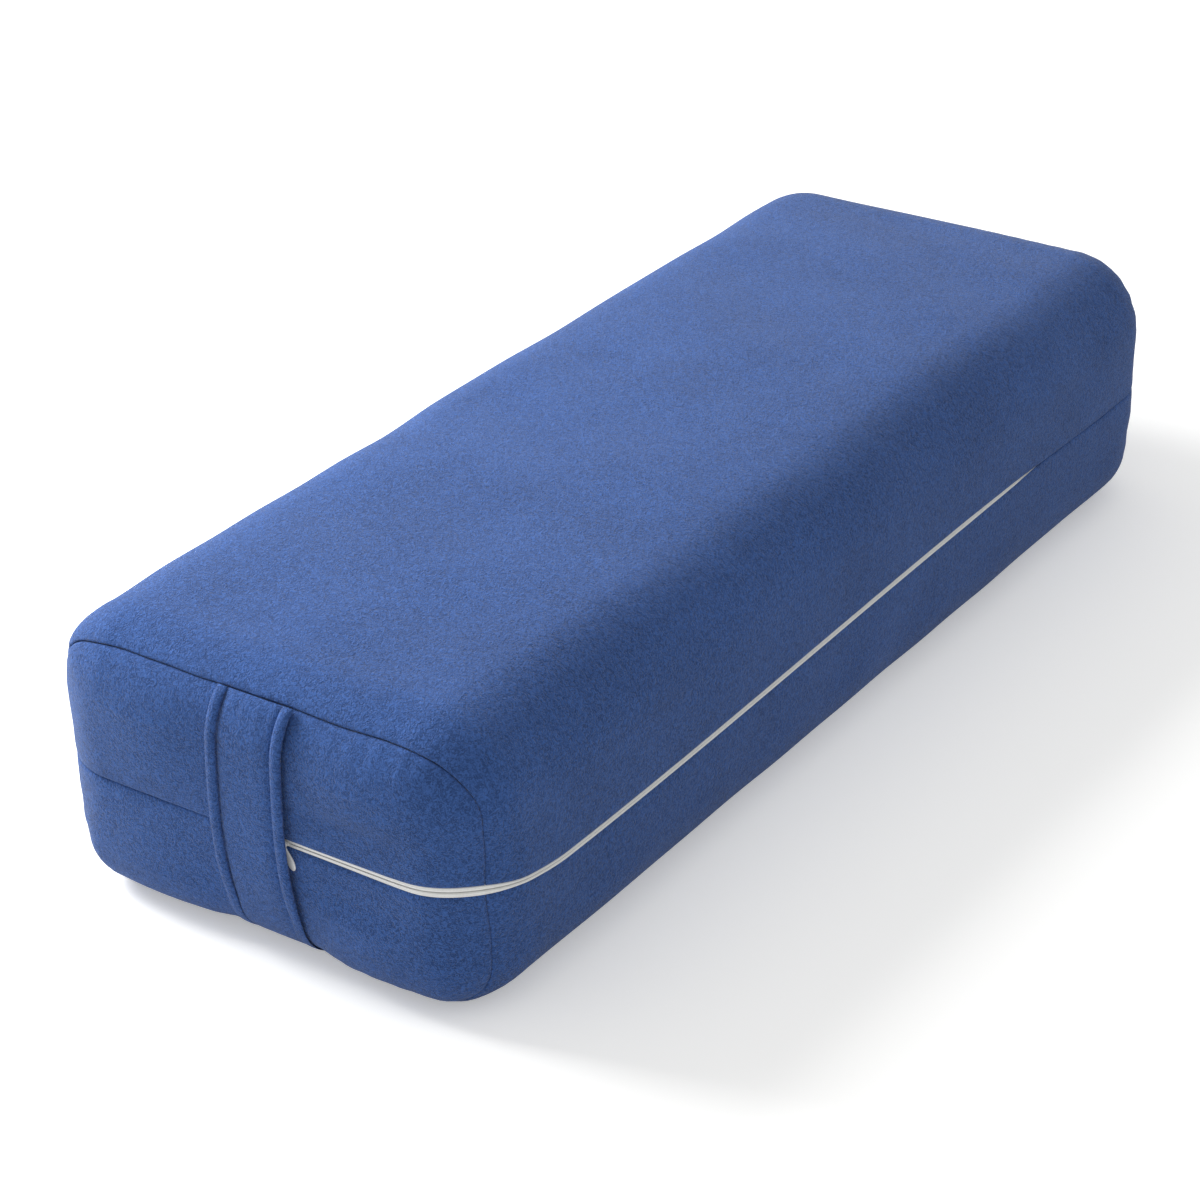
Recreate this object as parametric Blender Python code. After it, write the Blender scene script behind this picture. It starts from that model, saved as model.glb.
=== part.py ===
"""Rectangular yoga bolster: a zipped cloth cover with one strap handle, over a lined and
wadded foam core.

The bolster lies along Y on the plane z = 0, with its handle end at -Y and its zip on the
near end and along the +X side. All sizes are in metres.
"""
import math
from collections import namedtuple

import bmesh
import bpy
from mathutils import Vector

# Stuffed block: overall size, and how far it rounds into its ends across and along itself
LENGTH = 0.660
WIDTH = 0.260
HEIGHT = 0.1465
TOP_EDGE_RADIUS = 0.0435
BASE_EDGE_RADIUS = 0.0345
END_RADIUS_SIDE = 0.040
END_RADIUS_UPPER = 0.038
END_RADIUS_TOP = 0.0345
END_ROUND_LOWER_ACROSS = 0.034
END_ROUND_LOWER_ALONG = 0.050
END_RADIUS_BASE = 0.024
TOP_CROWN = 0.0025
SIDE_BULGE = 0.0020
END_BOW = 0.0020

# Seams of the cover
MID_SEAM_HEIGHT = 0.0665
SEAM_ANGLE_SIDE = math.radians(36.0)
SEAM_ANGLE_LOWER = math.radians(40.0)
SEAM_ANGLE_TOP = math.radians(47.5)
SEAM_ANGLE_BASE = math.radians(26.0)
SEAM_GAP = 0.0003
SEAM_BELT = 0.013

# How far the zip draws the middle seam up or down on its way along the block
ZIP_RISE_END = 0.0022
ZIP_RISE_CORNER = 0.0012
ZIP_DROP_PAST_CORNER = 0.0056
ZIP_RISE_SIDE = 0.0070
ZIP_DROP_TAIL = 0.0028
ZIP_DROP_FAR = 0.0008
RISE_REACH = 0.055

# Layers, from the outside in
CLEARANCE = 0.0003
COVER_THICKNESS = 0.0012
EDGE_ROLL = 0.0006
LINER_THICKNESS = 0.0006
WADDING_THICKNESS = 0.010
SEAM_DENT = 0.0040
SEAM_DENT_REACH = 0.020
PARTING_REACH = 0.030

# Zip
ZIP_OPENING = 0.0038
ZIP_OPENING_CORNER = 0.0050
ZIP_OPENING_SIDE = 0.0026
ZIP_START_X = 0.008
ZIP_WIDEST_X = 0.106
ZIP_NARROWING_START = 0.0115
ZIP_NARROWING_END = 0.034
ZIP_END_Y = 0.190
TAPE_WIDTH = 0.012
TAPE_THICKNESS = 0.0005
COIL_WIDTH = 0.0018
COIL_THICKNESS = 0.0012
COIL_SLOT = 0.0010
STOP_LENGTH = 0.0020
STOP_WIDTH = 0.0012
STOP_THICKNESS = 0.0009

# Slider and its pull tab
SLIDER_REST_X = 0.0183
SLIDER_RUN = 0.055
SLIDER_LENGTH = 0.0090
SLIDER_WIDTH = 0.0056
SLIDER_OUTER_WIDTH = 0.0030
SLIDER_PLATE = 0.0008
SLIDER_WEB = 0.0004
SLIDER_WEB_LENGTH = 0.0030
SLIDER_CORNER = 0.0010
BAIL_SPAN = 0.0044
BAIL_WIRE = 0.0009
BAIL_BEND = 0.0007
PULL_LENGTH = 0.0135
PULL_THICKNESS = 0.0006
PULL_WIDTH = 0.0042
PULL_NECK_WIDTH = 0.0016
PULL_BELLY = 0.0095
PULL_RING_RADIUS = 0.0018
PULL_LEAN = math.radians(22.5)

# Handle strap
HANDLE_WIDTH = 0.044
HANDLE_RIM_WIDTH = 0.0060
HANDLE_RIM_HEIGHT = 0.0032
HANDLE_FACE_THICKNESS = 0.0010
HANDLE_WEBBING_THICKNESS = 0.0009
HANDLE_STAND_OFF = 0.0024

# How finely the soft forms are divided. The inner layers use some of the cover's own rows
# and stations, so that their facets lie under the cover's and not through them.
ARC_STEPS = 6
TOP_STEPS = 4
BASE_STEPS = 2
STRAIGHT_STEPS = 4
INNER_SKIP_STEPS = 2
STRAP_CAP_STEPS = 7
RIM_STEPS = 10
PULL_STEPS = 6
EYE_STEPS = 16
SEAM_ROWS = (0.0, 0.003, 0.013, 0.024)
WRAP_ROWS = (0.0, 0.45, 0.87, 1.0)
PANEL_ROWS = (0.0, 0.12, 0.41, 0.70, 1.0)
CAP_ROW = 0.45
INNER_SEAM_ROWS = SEAM_ROWS[:3]
INNER_WRAP_ROWS = (WRAP_ROWS[0], WRAP_ROWS[1], WRAP_ROWS[3])
INNER_PANEL_ROWS = (PANEL_ROWS[2], PANEL_ROWS[4])

# Depths below the outer face of the cover, worked out from the layers
TAPE_DEPTH = COVER_THICKNESS + CLEARANCE
COIL_DEPTH = TAPE_DEPTH + TAPE_THICKNESS + CLEARANCE
LINER_DEPTH = COVER_THICKNESS + CLEARANCE
WADDING_DEPTH = LINER_DEPTH + LINER_THICKNESS + CLEARANCE
FOAM_DEPTH = WADDING_DEPTH + WADDING_THICKNESS + CLEARANCE

NEAR = -1
FAR = 1
UP = 1
DOWN = -1

Station = namedtuple("Station", "x z nx nz across along seam")
Row = namedtuple("Row", "kind side value")


def remove_old_objects():
    for item in list(bpy.data.objects):
        bpy.data.objects.remove(item, do_unlink=True)


def new_collection(name):
    collection = bpy.data.collections.new(name)
    bpy.context.scene.collection.children.link(collection)
    return collection


def linear_colour(hex_code):
    """Linear RGBA of an sRGB hex colour."""
    channels = []
    for start in (0, 2, 4):
        value = int(hex_code[start:start + 2], 16) / 255.0
        channels.append(value / 12.92 if value <= 0.04045 else ((value + 0.055) / 1.055) ** 2.4)
    return (*channels, 1.0)


def new_material(name, hex_code, roughness):
    material = bpy.data.materials.new(name)
    material.use_nodes = True
    shader = material.node_tree.nodes["Principled BSDF"]
    shader.inputs["Base Color"].default_value = linear_colour(hex_code)
    shader.inputs["Roughness"].default_value = roughness
    return material


def blend(start, end, share):
    return start + (end - start) * share


def smooth_step(value, start, end):
    share = min(max((value - start) / (end - start), 0.0), 1.0)
    return share * share * (3.0 - 2.0 * share)


def end_rounding(z, nz):
    """How far the block rounds into its end, across and along, for an outline point, and the
    angle at which the end seam runs there."""
    if z >= MID_SEAM_HEIGHT:
        share = smooth_step(z, MID_SEAM_HEIGHT + SEAM_BELT, HEIGHT - TOP_EDGE_RADIUS)
        wall = blend(END_RADIUS_SIDE, END_RADIUS_UPPER, share)
        radius = blend(wall, END_RADIUS_TOP, nz * nz)
        return radius, radius, blend(SEAM_ANGLE_SIDE, SEAM_ANGLE_TOP, nz * nz)
    share = smooth_step(-z, SEAM_BELT - MID_SEAM_HEIGHT, -BASE_EDGE_RADIUS)
    across = blend(END_RADIUS_SIDE, END_ROUND_LOWER_ACROSS, share)
    along = blend(END_RADIUS_SIDE, END_ROUND_LOWER_ALONG, share)
    seam = blend(SEAM_ANGLE_SIDE, SEAM_ANGLE_LOWER, share)
    return (
        blend(across, END_RADIUS_BASE, nz * nz),
        blend(along, END_RADIUS_BASE, nz * nz),
        blend(seam, SEAM_ANGLE_BASE, nz * nz),
    )


def make_station(x, z, nx, nz):
    return Station(x, z, nx, nz, *end_rounding(z, nz))


def half_outline(direction, seam_rows=SEAM_ROWS, stride=1):
    """Stations of the cross-section from the right middle seam over the top, or under the
    base, to the left middle seam."""
    edge_radius = TOP_EDGE_RADIUS if direction == UP else BASE_EDGE_RADIUS
    edge_z = HEIGHT if direction == UP else 0.0
    flat_steps = TOP_STEPS if direction == UP else BASE_STEPS
    arc_x = WIDTH / 2 - edge_radius
    arc_z = edge_z - direction * edge_radius
    right = [make_station(WIDTH / 2, MID_SEAM_HEIGHT + direction * row, 1.0, 0.0) for row in seam_rows]
    for step in range(0, ARC_STEPS, stride):
        angle = math.radians(90.0) * step / ARC_STEPS
        nx = math.cos(angle)
        nz = direction * math.sin(angle)
        right.append(make_station(arc_x + edge_radius * nx, arc_z + edge_radius * nz, nx, nz))
    flat = [
        make_station(blend(arc_x, -arc_x, step / flat_steps), edge_z, 0.0, float(direction))
        for step in range(0, flat_steps + 1, stride)
    ]
    left = [station._replace(x=-station.x, nx=-station.nx) for station in reversed(right)]
    return right + flat + left


def straight_rows(stride=1):
    steps = range(stride, STRAIGHT_STEPS, stride)
    return [Row("straight", FAR, 2.0 * step / STRAIGHT_STEPS - 1.0) for step in steps]


def wrap_rows(values=WRAP_ROWS, stride=1):
    """Rows of a panel that runs the length of the block, from seam to seam."""
    near = [Row("wrap", NEAR, value) for value in reversed(values)]
    far = [Row("wrap", FAR, value) for value in values]
    return near + straight_rows(stride) + far


def panel_rows(side):
    """Rows of an end panel, from its seam to the middle of the end."""
    cap_x = WIDTH / 2 - END_RADIUS_SIDE
    zip_row = (cap_x - ZIP_START_X) / cap_x
    rounded = [Row("panel", side, value) for value in PANEL_ROWS]
    return rounded + [Row("cap", side, value) for value in (CAP_ROW, zip_row, 1.0)]


def tray_rows():
    """Rows of an inner piece that covers both ends too, from the middle of one end to the
    middle of the other."""
    rounded = [Row("panel", FAR, value) for value in INNER_PANEL_ROWS]
    far = rounded + [Row("cap", FAR, value) for value in (CAP_ROW, 1.0)]
    near = [row._replace(side=NEAR) for row in reversed(far)]
    return near + wrap_rows(INNER_WRAP_ROWS, INNER_SKIP_STEPS) + far


def end_angle(station, row):
    half_gap = SEAM_GAP / 2 / station.across
    if row.kind == "wrap":
        return station.seam * row.value - half_gap * (row.value == 1.0)
    return blend(station.seam, math.radians(90.0), row.value) + half_gap * (row.value == 0.0)


def on_block(station, row, depth):
    """Point of the block before it is stuffed, at a depth below its outer face."""
    core_x = station.x - station.nx * station.across
    core_z = station.z - station.nz * station.across
    core_y = LENGTH / 2 - station.along
    if row.kind == "straight":
        reach = station.across - depth
        y = row.value * core_y
    elif row.kind == "cap":
        core_x = blend(core_x, 0.0, row.value)
        core_z = blend(core_z, MID_SEAM_HEIGHT, row.value)
        return Vector((core_x, row.side * (LENGTH / 2 - depth), core_z))
    else:
        angle = end_angle(station, row)
        reach = (station.across - depth) * math.cos(angle)
        y = row.side * (core_y + (station.along - depth) * math.sin(angle))
    return Vector((core_x + station.nx * reach, y, core_z + station.nz * reach))


def seam_rise(x, y):
    """How far the middle seam is drawn up or down by the zip, at a place on the block. It is
    the same all along the slider's run."""
    zipped = smooth_step(x, -0.014, 0.006)
    corner = smooth_step(x, 0.087, 0.108)
    past_corner = smooth_step(y, -0.322, -0.262)
    side = smooth_step(y, -0.260, 0.150)
    tail = smooth_step(y, 0.160, 0.280)
    far = smooth_step(y, 0.280, 0.325)
    rise = ZIP_RISE_END + ZIP_RISE_CORNER * corner - ZIP_DROP_PAST_CORNER * past_corner
    return zipped * (rise + ZIP_RISE_SIDE * side - ZIP_DROP_TAIL * tail - ZIP_DROP_FAR * far)


def stuffed(point):
    """The block swells a little: a crown on top, full sides and bowed ends. The zip draws the
    middle seam up and down."""
    x, y, z = point
    along = max(1.0 - (2.0 * y / LENGTH) ** 4, 0.0)
    across = max(1.0 - (2.0 * x / WIDTH) ** 2, 0.0)
    wall = max(4.0 * z / HEIGHT * (1.0 - z / HEIGHT), 0.0)
    top = smooth_step(z, MID_SEAM_HEIGHT + SEAM_BELT, HEIGHT)
    belt = 1.0 - smooth_step(abs(z - MID_SEAM_HEIGHT), SEAM_BELT, RISE_REACH)
    return Vector((
        x * (1.0 + SIDE_BULGE / (WIDTH / 2) * along * wall),
        y * (1.0 + END_BOW / (LENGTH / 2) * wall),
        z + TOP_CROWN * along * across * top + seam_rise(x, y) * belt,
    ))


def zip_opening(x, y):
    """Width of the gap in the cover that shows the zip, at a place on the middle seam. It is
    even over the slider's run, opens a little on the corner and narrows along the side."""
    starts = smooth_step(x, ZIP_START_X - TAPE_WIDTH / 2, ZIP_START_X)
    run_end = SLIDER_REST_X + SLIDER_RUN + SLIDER_LENGTH / 2
    widens = smooth_step(x, run_end, ZIP_WIDEST_X)
    behind_end = y + LENGTH / 2
    narrows = smooth_step(behind_end, ZIP_NARROWING_START, ZIP_NARROWING_END)
    ends = 1.0 - smooth_step(y, ZIP_END_Y - TAPE_WIDTH, ZIP_END_Y)
    opening = blend(blend(ZIP_OPENING, ZIP_OPENING_CORNER, widens), ZIP_OPENING_SIDE, narrows)
    return starts * ends * opening


def seam_parted(point, direction, opening):
    """Keeps a piece off the middle seam by half its gap, fading away from the seam."""
    height = abs(point.z - MID_SEAM_HEIGHT)
    fade = 1.0 - smooth_step(height, 0.0, PARTING_REACH)
    shift = (SEAM_GAP + opening) / 2 * fade
    return point + Vector((0.0, 0.0, direction * shift))


def seam_dent(point):
    """Extra depth of the inner layers where the tape, coil and seam allowances press in."""
    share = abs(point.z - MID_SEAM_HEIGHT) / SEAM_DENT_REACH
    return SEAM_DENT * max(1.0 - share * share, 0.0) ** 2


def finish_object(name, mesh_data, material, collection):
    mesh = bpy.data.meshes.new(name)
    bmesh.ops.remove_doubles(mesh_data, verts=mesh_data.verts, dist=0.000001)
    bmesh.ops.recalc_face_normals(mesh_data, faces=mesh_data.faces)
    mesh_data.to_mesh(mesh)
    mesh_data.free()
    mesh.materials.append(material)
    mesh.shade_smooth()
    mesh.set_sharp_from_angle(angle=math.radians(40.0))
    item = bpy.data.objects.new(name, mesh)
    collection.objects.link(item)
    return item


def index_grid(columns, rows):
    """A flat grid of triangles whose vertices sit at whole numbers, column by row. Every
    layer is split along the same diagonals, so that thin gaps between layers stay open."""
    grid = bmesh.new()
    bmesh.ops.create_grid(grid, x_segments=columns, y_segments=rows, size=0.5)
    bmesh.ops.triangulate(grid, faces=grid.faces[:], quad_method="FIXED")
    for vert in grid.verts:
        vert.co.x = round((vert.co.x + 0.5) * columns)
        vert.co.y = round((vert.co.y + 0.5) * rows)
    return grid


def cloth_panel(name, direction, rows, material, collection):
    """A panel of the cover: a slab of cloth laid over the block, its seam edges rolled in."""
    stations = half_outline(direction)
    slab = index_grid(len(stations) - 1, len(rows) - 1)
    raised = bmesh.ops.extrude_face_region(slab, geom=slab.faces[:])
    for vert in [item for item in raised["geom"] if isinstance(item, bmesh.types.BMVert)]:
        vert.co.z = 1.0
    for vert in slab.verts:
        column, row_number, layer = (round(value) for value in vert.co)
        row = rows[row_number]
        on_seam = column in (0, len(stations) - 1) or row in (rows[0], rows[-1])
        outer = EDGE_ROLL if on_seam else 0.0
        depth = COVER_THICKNESS if layer else outer
        flat = on_block(stations[column], row, depth)
        parted = seam_parted(flat, direction, zip_opening(flat.x, flat.y))
        vert.co = stuffed(parted)
    return finish_object(name, slab, material, collection)


def inner_tray(name, direction, outer, inner, dented, material, collection):
    """Half of an inner layer: it covers the top or the base, the sides and both ends."""
    stations = half_outline(direction, INNER_SEAM_ROWS, INNER_SKIP_STEPS)
    rows = tray_rows()
    slab = index_grid(len(stations) - 1, len(rows) - 1)
    raised = bmesh.ops.extrude_face_region(slab, geom=slab.faces[:])
    for vert in [item for item in raised["geom"] if isinstance(item, bmesh.types.BMVert)]:
        vert.co.z = 1.0
    for vert in slab.verts:
        column, row_number, layer = (round(value) for value in vert.co)
        depth = inner if layer else outer
        flat = on_block(stations[column], rows[row_number], depth)
        if not layer or dented:
            flat = on_block(stations[column], rows[row_number], depth + seam_dent(flat))
        vert.co = stuffed(seam_parted(flat, direction, 0.0))
    return finish_object(name, slab, material, collection)


def foam_block(material, collection):
    """The solid core, the same form as the cover at the depth of the layers round it."""
    rows = tray_rows()
    skin = bmesh.new()
    for direction in (UP, DOWN):
        stations = half_outline(direction, INNER_SEAM_ROWS, INNER_SKIP_STEPS)
        half = index_grid(len(stations) - 1, len(rows) - 1)
        for vert in half.verts:
            station = stations[round(vert.co.x)]
            row = rows[round(vert.co.y)]
            vert.co = stuffed(on_block(station, row, FOAM_DEPTH))
        carrier = bpy.data.meshes.new("foam_half")
        half.to_mesh(carrier)
        half.free()
        skin.from_mesh(carrier)
        bpy.data.meshes.remove(carrier)
    return finish_object("foam_core", skin, material, collection)


def swept_solid(name, section, places, material, collection):
    """A closed solid: each place puts the whole section somewhere along a route."""
    skin = index_grid(len(section), len(places) - 1)
    for vert in skin.verts:
        across, depth = section[round(vert.co.x) % len(section)]
        vert.co = places[round(vert.co.y)](across, depth)
    bmesh.ops.remove_doubles(skin, verts=skin.verts, dist=0.000001)
    open_edges = [edge for edge in skin.edges if edge.is_boundary]
    bmesh.ops.holes_fill(skin, edges=open_edges, sides=len(section))
    return finish_object(name, skin, material, collection)


def box_section(across_low, across_high, depth_low, depth_high):
    return [
        (across_low, depth_low),
        (across_high, depth_low),
        (across_high, depth_high),
        (across_low, depth_high),
    ]


def belt_places(start_x, end_y):
    """Places along the middle seam, from the near end round the corner and up the +X side."""
    wall = make_station(WIDTH / 2, MID_SEAM_HEIGHT, 1.0, 0.0)
    corner_x = WIDTH / 2 - END_RADIUS_SIDE
    rounded = [Row("panel", NEAR, value) for value in reversed(PANEL_ROWS)]
    rounded += [Row("wrap", NEAR, value) for value in reversed(WRAP_ROWS)]
    side_reach = LENGTH / 2 - wall.along
    straight = [row for row in straight_rows() if row.value * side_reach < end_y]
    straight.append(Row("straight", FAR, end_y / side_reach))

    def on_end(x):
        def place(across, depth):
            return stuffed(Vector((x, depth - LENGTH / 2, MID_SEAM_HEIGHT + across)))
        return place

    def on_side(row):
        def place(across, depth):
            point = on_block(wall, row, depth)
            return stuffed(point + Vector((0.0, 0.0, across)))
        return place

    return [on_end(start_x), on_end(blend(start_x, corner_x, 0.5))] + [
        on_side(row) for row in rounded + straight
    ]


def strap_places(material_offset):
    """Places down the middle of the near end, from its top seam to just short of its base
    seam, where it is clear of the floor. The strap stands off the panel by a named distance
    half way down."""
    top = make_station(0.0, HEIGHT, 0.0, 1.0)
    base = make_station(0.0, 0.0, 0.0, -1.0)
    stops = [(top, Row("panel", NEAR, value)) for value in PANEL_ROWS]
    top_z = HEIGHT - top.across
    base_z = base.across
    shares = [step / STRAP_CAP_STEPS for step in range(1, STRAP_CAP_STEPS)]
    heights = [blend(top_z, base_z, share) for share in shares]
    stops += [(None, height) for height in heights]
    stops += [(base, Row("panel", NEAR, value)) for value in reversed(PANEL_ROWS[1:])]

    def at_stop(station, row):
        def place(across, depth):
            lift = strap_lift(on_block(station, row, 0.0).z)
            point = on_block(station, row, depth - lift - material_offset)
            return stuffed(point + Vector((across, 0.0, 0.0)))
        return place

    def at_height(height):
        def place(across, depth):
            y = depth - strap_lift(height) - material_offset - LENGTH / 2
            return stuffed(Vector((across, y, height)))
        return place

    return [at_height(row) if station is None else at_stop(station, row) for station, row in stops]


def strap_lift(height):
    share = min(max(height / HEIGHT, 0.0), 1.0)
    return CLEARANCE + HANDLE_STAND_OFF * math.sin(math.pi * share) ** 1.2


def on_zip(depth):
    """Where the zip starts on the near end, at a depth below the outer face."""
    return stuffed(Vector((ZIP_START_X, depth - LENGTH / 2, MID_SEAM_HEIGHT)))


def make_cover(cloth, collection):
    cloth_panel("cover_top_wrap", UP, wrap_rows(), cloth, collection)
    cloth_panel("cover_base_wrap", DOWN, wrap_rows(), cloth, collection)
    for side, label in ((NEAR, "near"), (FAR, "far")):
        cloth_panel(label + "_end_upper_panel", UP, panel_rows(side), cloth, collection)
        cloth_panel(label + "_end_lower_panel", DOWN, panel_rows(side), cloth, collection)


def make_filling(lining, wadding, foam, collection):
    for direction, label in ((UP, "upper"), (DOWN, "lower")):
        inner_tray(
            "liner_" + label + "_half", direction, LINER_DEPTH,
            LINER_DEPTH + LINER_THICKNESS, True, lining, collection,
        )
        inner_tray(
            "wadding_" + label + "_half", direction, WADDING_DEPTH,
            WADDING_DEPTH + WADDING_THICKNESS, False, wadding, collection,
        )
    foam_block(foam, collection)


def make_handle(cloth, webbing, collection):
    strip_half = HANDLE_WIDTH / 2 - HANDLE_RIM_WIDTH - CLEARANCE
    rim_x = HANDLE_WIDTH / 2 - HANDLE_RIM_WIDTH / 2
    webbing_section = box_section(-strip_half, strip_half, -HANDLE_WEBBING_THICKNESS, 0.0)
    swept_solid("handle_webbing", webbing_section, strap_places(0.0), webbing, collection)
    face_offset = HANDLE_WEBBING_THICKNESS + CLEARANCE
    face_section = box_section(-strip_half, strip_half, -HANDLE_FACE_THICKNESS, 0.0)
    swept_solid("handle_face_strip", face_section, strap_places(face_offset), cloth, collection)
    for direction, label in ((-1, "left"), (1, "right")):
        section = []
        for step in range(RIM_STEPS):
            angle = math.tau * (step + 0.5) / RIM_STEPS
            across = direction * rim_x + HANDLE_RIM_WIDTH / 2 * math.cos(angle)
            depth = HANDLE_RIM_HEIGHT / 2 * (math.sin(angle) - 1.0)
            section.append((across, depth))
        swept_solid("handle_rim_" + label, section, strap_places(0.0), cloth, collection)


def make_zip_tapes(tape, coil, metal, collection):
    slot = COIL_SLOT / 2
    places = belt_places(ZIP_START_X, ZIP_END_Y)
    for direction, label in ((UP, "upper"), (DOWN, "lower")):
        tape_edges = sorted((direction * slot, direction * (slot + TAPE_WIDTH)))
        tape_section = box_section(*tape_edges, TAPE_DEPTH, TAPE_DEPTH + TAPE_THICKNESS)
        swept_solid("zip_tape_" + label, tape_section, places, tape, collection)
        coil_edges = sorted((direction * slot, direction * (slot + COIL_WIDTH)))
        coil_section = box_section(*coil_edges, COIL_DEPTH, COIL_DEPTH + COIL_THICKNESS)
        swept_solid("zip_coil_" + label, coil_section, places, coil, collection)
        make_end_stop(direction, label, metal, collection)
    make_tail_stop(metal, collection)


def bevelled_box(name, low, high, bevel, material, collection):
    box = bmesh.new()
    bmesh.ops.create_cube(box, size=1.0)
    centre = (Vector(low) + Vector(high)) / 2
    size = Vector(high) - Vector(low)
    for vert in box.verts:
        vert.co = centre + Vector((vert.co.x * size.x, vert.co.y * size.y, vert.co.z * size.z))
    if bevel > 0.0:
        upright = [edge for edge in box.edges if abs((edge.verts[0].co - edge.verts[1].co).y) > 0.0]
        bmesh.ops.bevel(
            box, geom=upright, offset=bevel, offset_type="OFFSET", segments=3,
            profile=0.5, affect="EDGES", clamp_overlap=True, material=-1,
        )
    return finish_object(name, box, material, collection)


def make_end_stop(direction, label, metal, collection):
    """A clip on the edge of one tape, just short of the slider at its closed end."""
    slider_end = SLIDER_REST_X - SLIDER_LENGTH / 2
    high_x = slider_end - CLEARANCE
    inner = on_zip(0.0).z + direction * COIL_SLOT / 2
    outer = inner + direction * STOP_WIDTH
    top_y = on_zip(TAPE_DEPTH - CLEARANCE - STOP_THICKNESS).y
    base_y = on_zip(TAPE_DEPTH - CLEARANCE).y
    low = (high_x - STOP_LENGTH, top_y, min(inner, outer))
    high = (high_x, base_y, max(inner, outer))
    bevelled_box("zip_end_stop_" + label, low, high, 0.0, metal, collection)


def make_tail_stop(metal, collection):
    """The clip that joins both tapes at the tail of the zip, under the cover."""
    half = COIL_SLOT / 2 + COIL_WIDTH
    tail = stuffed(Vector((WIDTH / 2 - COIL_DEPTH - COIL_THICKNESS, ZIP_END_Y, MID_SEAM_HEIGHT)))
    low = (tail.x - CLEARANCE - STOP_THICKNESS, ZIP_END_Y - STOP_LENGTH, tail.z - half)
    high = (tail.x - CLEARANCE, ZIP_END_Y, tail.z + half)
    bevelled_box("zip_tail_stop", low, high, 0.0, metal, collection)


def bail_arch(foot_y, crown_y, collection, material):
    """The wire bridge over the slider that the pull tab hangs on."""
    half = BAIL_SPAN / 2
    bend = BAIL_BEND
    route = [(-half, foot_y), (-half, crown_y + bend)]
    for step in (1, 2):
        angle = math.radians(30.0 * step)
        route.append((-half + bend * (1.0 - math.cos(angle)), crown_y + bend * (1.0 - math.sin(angle))))
    route.append((bend - half, crown_y))
    route += [(-x, y) for x, y in reversed(route)]
    curve = bpy.data.curves.new("bail_route", "CURVE")
    curve.dimensions = "3D"
    curve.bevel_depth = BAIL_WIRE / 2
    curve.bevel_resolution = 2
    curve.use_fill_caps = True
    spline = curve.splines.new("POLY")
    spline.points.add(len(route) - 1)
    for point, (x, y) in zip(spline.points, route):
        point.co = (x, y, 0.0, 1.0)
    wire = bpy.data.objects.new("bail_wire", curve)
    collection.objects.link(wire)
    bpy.context.view_layer.update()
    evaluated = wire.evaluated_get(bpy.context.evaluated_depsgraph_get())
    mesh = bpy.data.meshes.new_from_object(evaluated)
    mesh.materials.clear()
    joined = bmesh.new()
    joined.from_mesh(mesh)
    bpy.data.objects.remove(wire, do_unlink=True)
    bpy.data.meshes.remove(mesh)
    return finish_object("bail", joined, material, collection)


def union(target, tool):
    modifier = target.modifiers.new("join_" + tool.name, "BOOLEAN")
    modifier.operation = "UNION"
    modifier.object = tool
    tool.hide_render = True
    tool.display_type = "WIRE"
    tool.parent = target


def make_slider(metal, parts, cutters):
    """Two plates joined by a thin web at the nose, with the wire bail on the outer plate.
    The closed coil runs between the plates, one half on each side of the web. The outer
    plate is narrow, so that it passes between the edges of the cover."""
    origin = Vector((SLIDER_REST_X, on_zip(0.0).y, on_zip(0.0).z))
    half_x = SLIDER_LENGTH / 2
    half_z = SLIDER_WIDTH / 2
    outer_base = TAPE_DEPTH - CLEARANCE
    outer_top = outer_base - SLIDER_PLATE
    inner_top = COIL_DEPTH + COIL_THICKNESS + CLEARANCE
    inner_base = inner_top + SLIDER_PLATE
    half_outer_z = SLIDER_OUTER_WIDTH / 2
    slider = bevelled_box(
        "zip_slider", (-half_x, outer_top, -half_outer_z), (half_x, outer_base, half_outer_z),
        SLIDER_CORNER, metal, parts,
    )
    inner_plate = bevelled_box(
        "inner_plate", (-half_x, inner_top, -half_z), (half_x, inner_base, half_z),
        SLIDER_CORNER, metal, cutters,
    )
    overlap = SLIDER_PLATE / 2
    web = bevelled_box(
        "web", (-half_x, outer_base - overlap, -SLIDER_WEB / 2),
        (-half_x + SLIDER_WEB_LENGTH, inner_top + overlap, SLIDER_WEB / 2), 0.0, metal, cutters,
    )
    crown_y = -CLEARANCE - PULL_THICKNESS - CLEARANCE - BAIL_WIRE / 2
    arch = bail_arch(outer_top + overlap, crown_y, cutters, metal)
    for tool in (web, inner_plate, arch):
        union(slider, tool)
    slider.location = origin
    return slider


def pull_outline():
    """Half widths of the pull tab at distances down from its hinge, from neck to tip."""
    neck = PULL_NECK_WIDTH / 2
    tip_radius = PULL_LENGTH - PULL_BELLY
    outline = []
    start = PULL_RING_RADIUS * math.cos(math.asin(neck / PULL_RING_RADIUS))
    for step in range(PULL_STEPS):
        share = step / PULL_STEPS
        width = blend(neck, PULL_WIDTH / 2, smooth_step(share, 0.0, 1.0))
        outline.append((width, -blend(start, PULL_BELLY, share)))
    for step in range(PULL_STEPS):
        angle = math.radians(90.0) * step / PULL_STEPS
        outline.append((PULL_WIDTH / 2 * math.cos(angle), -PULL_BELLY - tip_radius * math.sin(angle)))
    return outline


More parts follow.
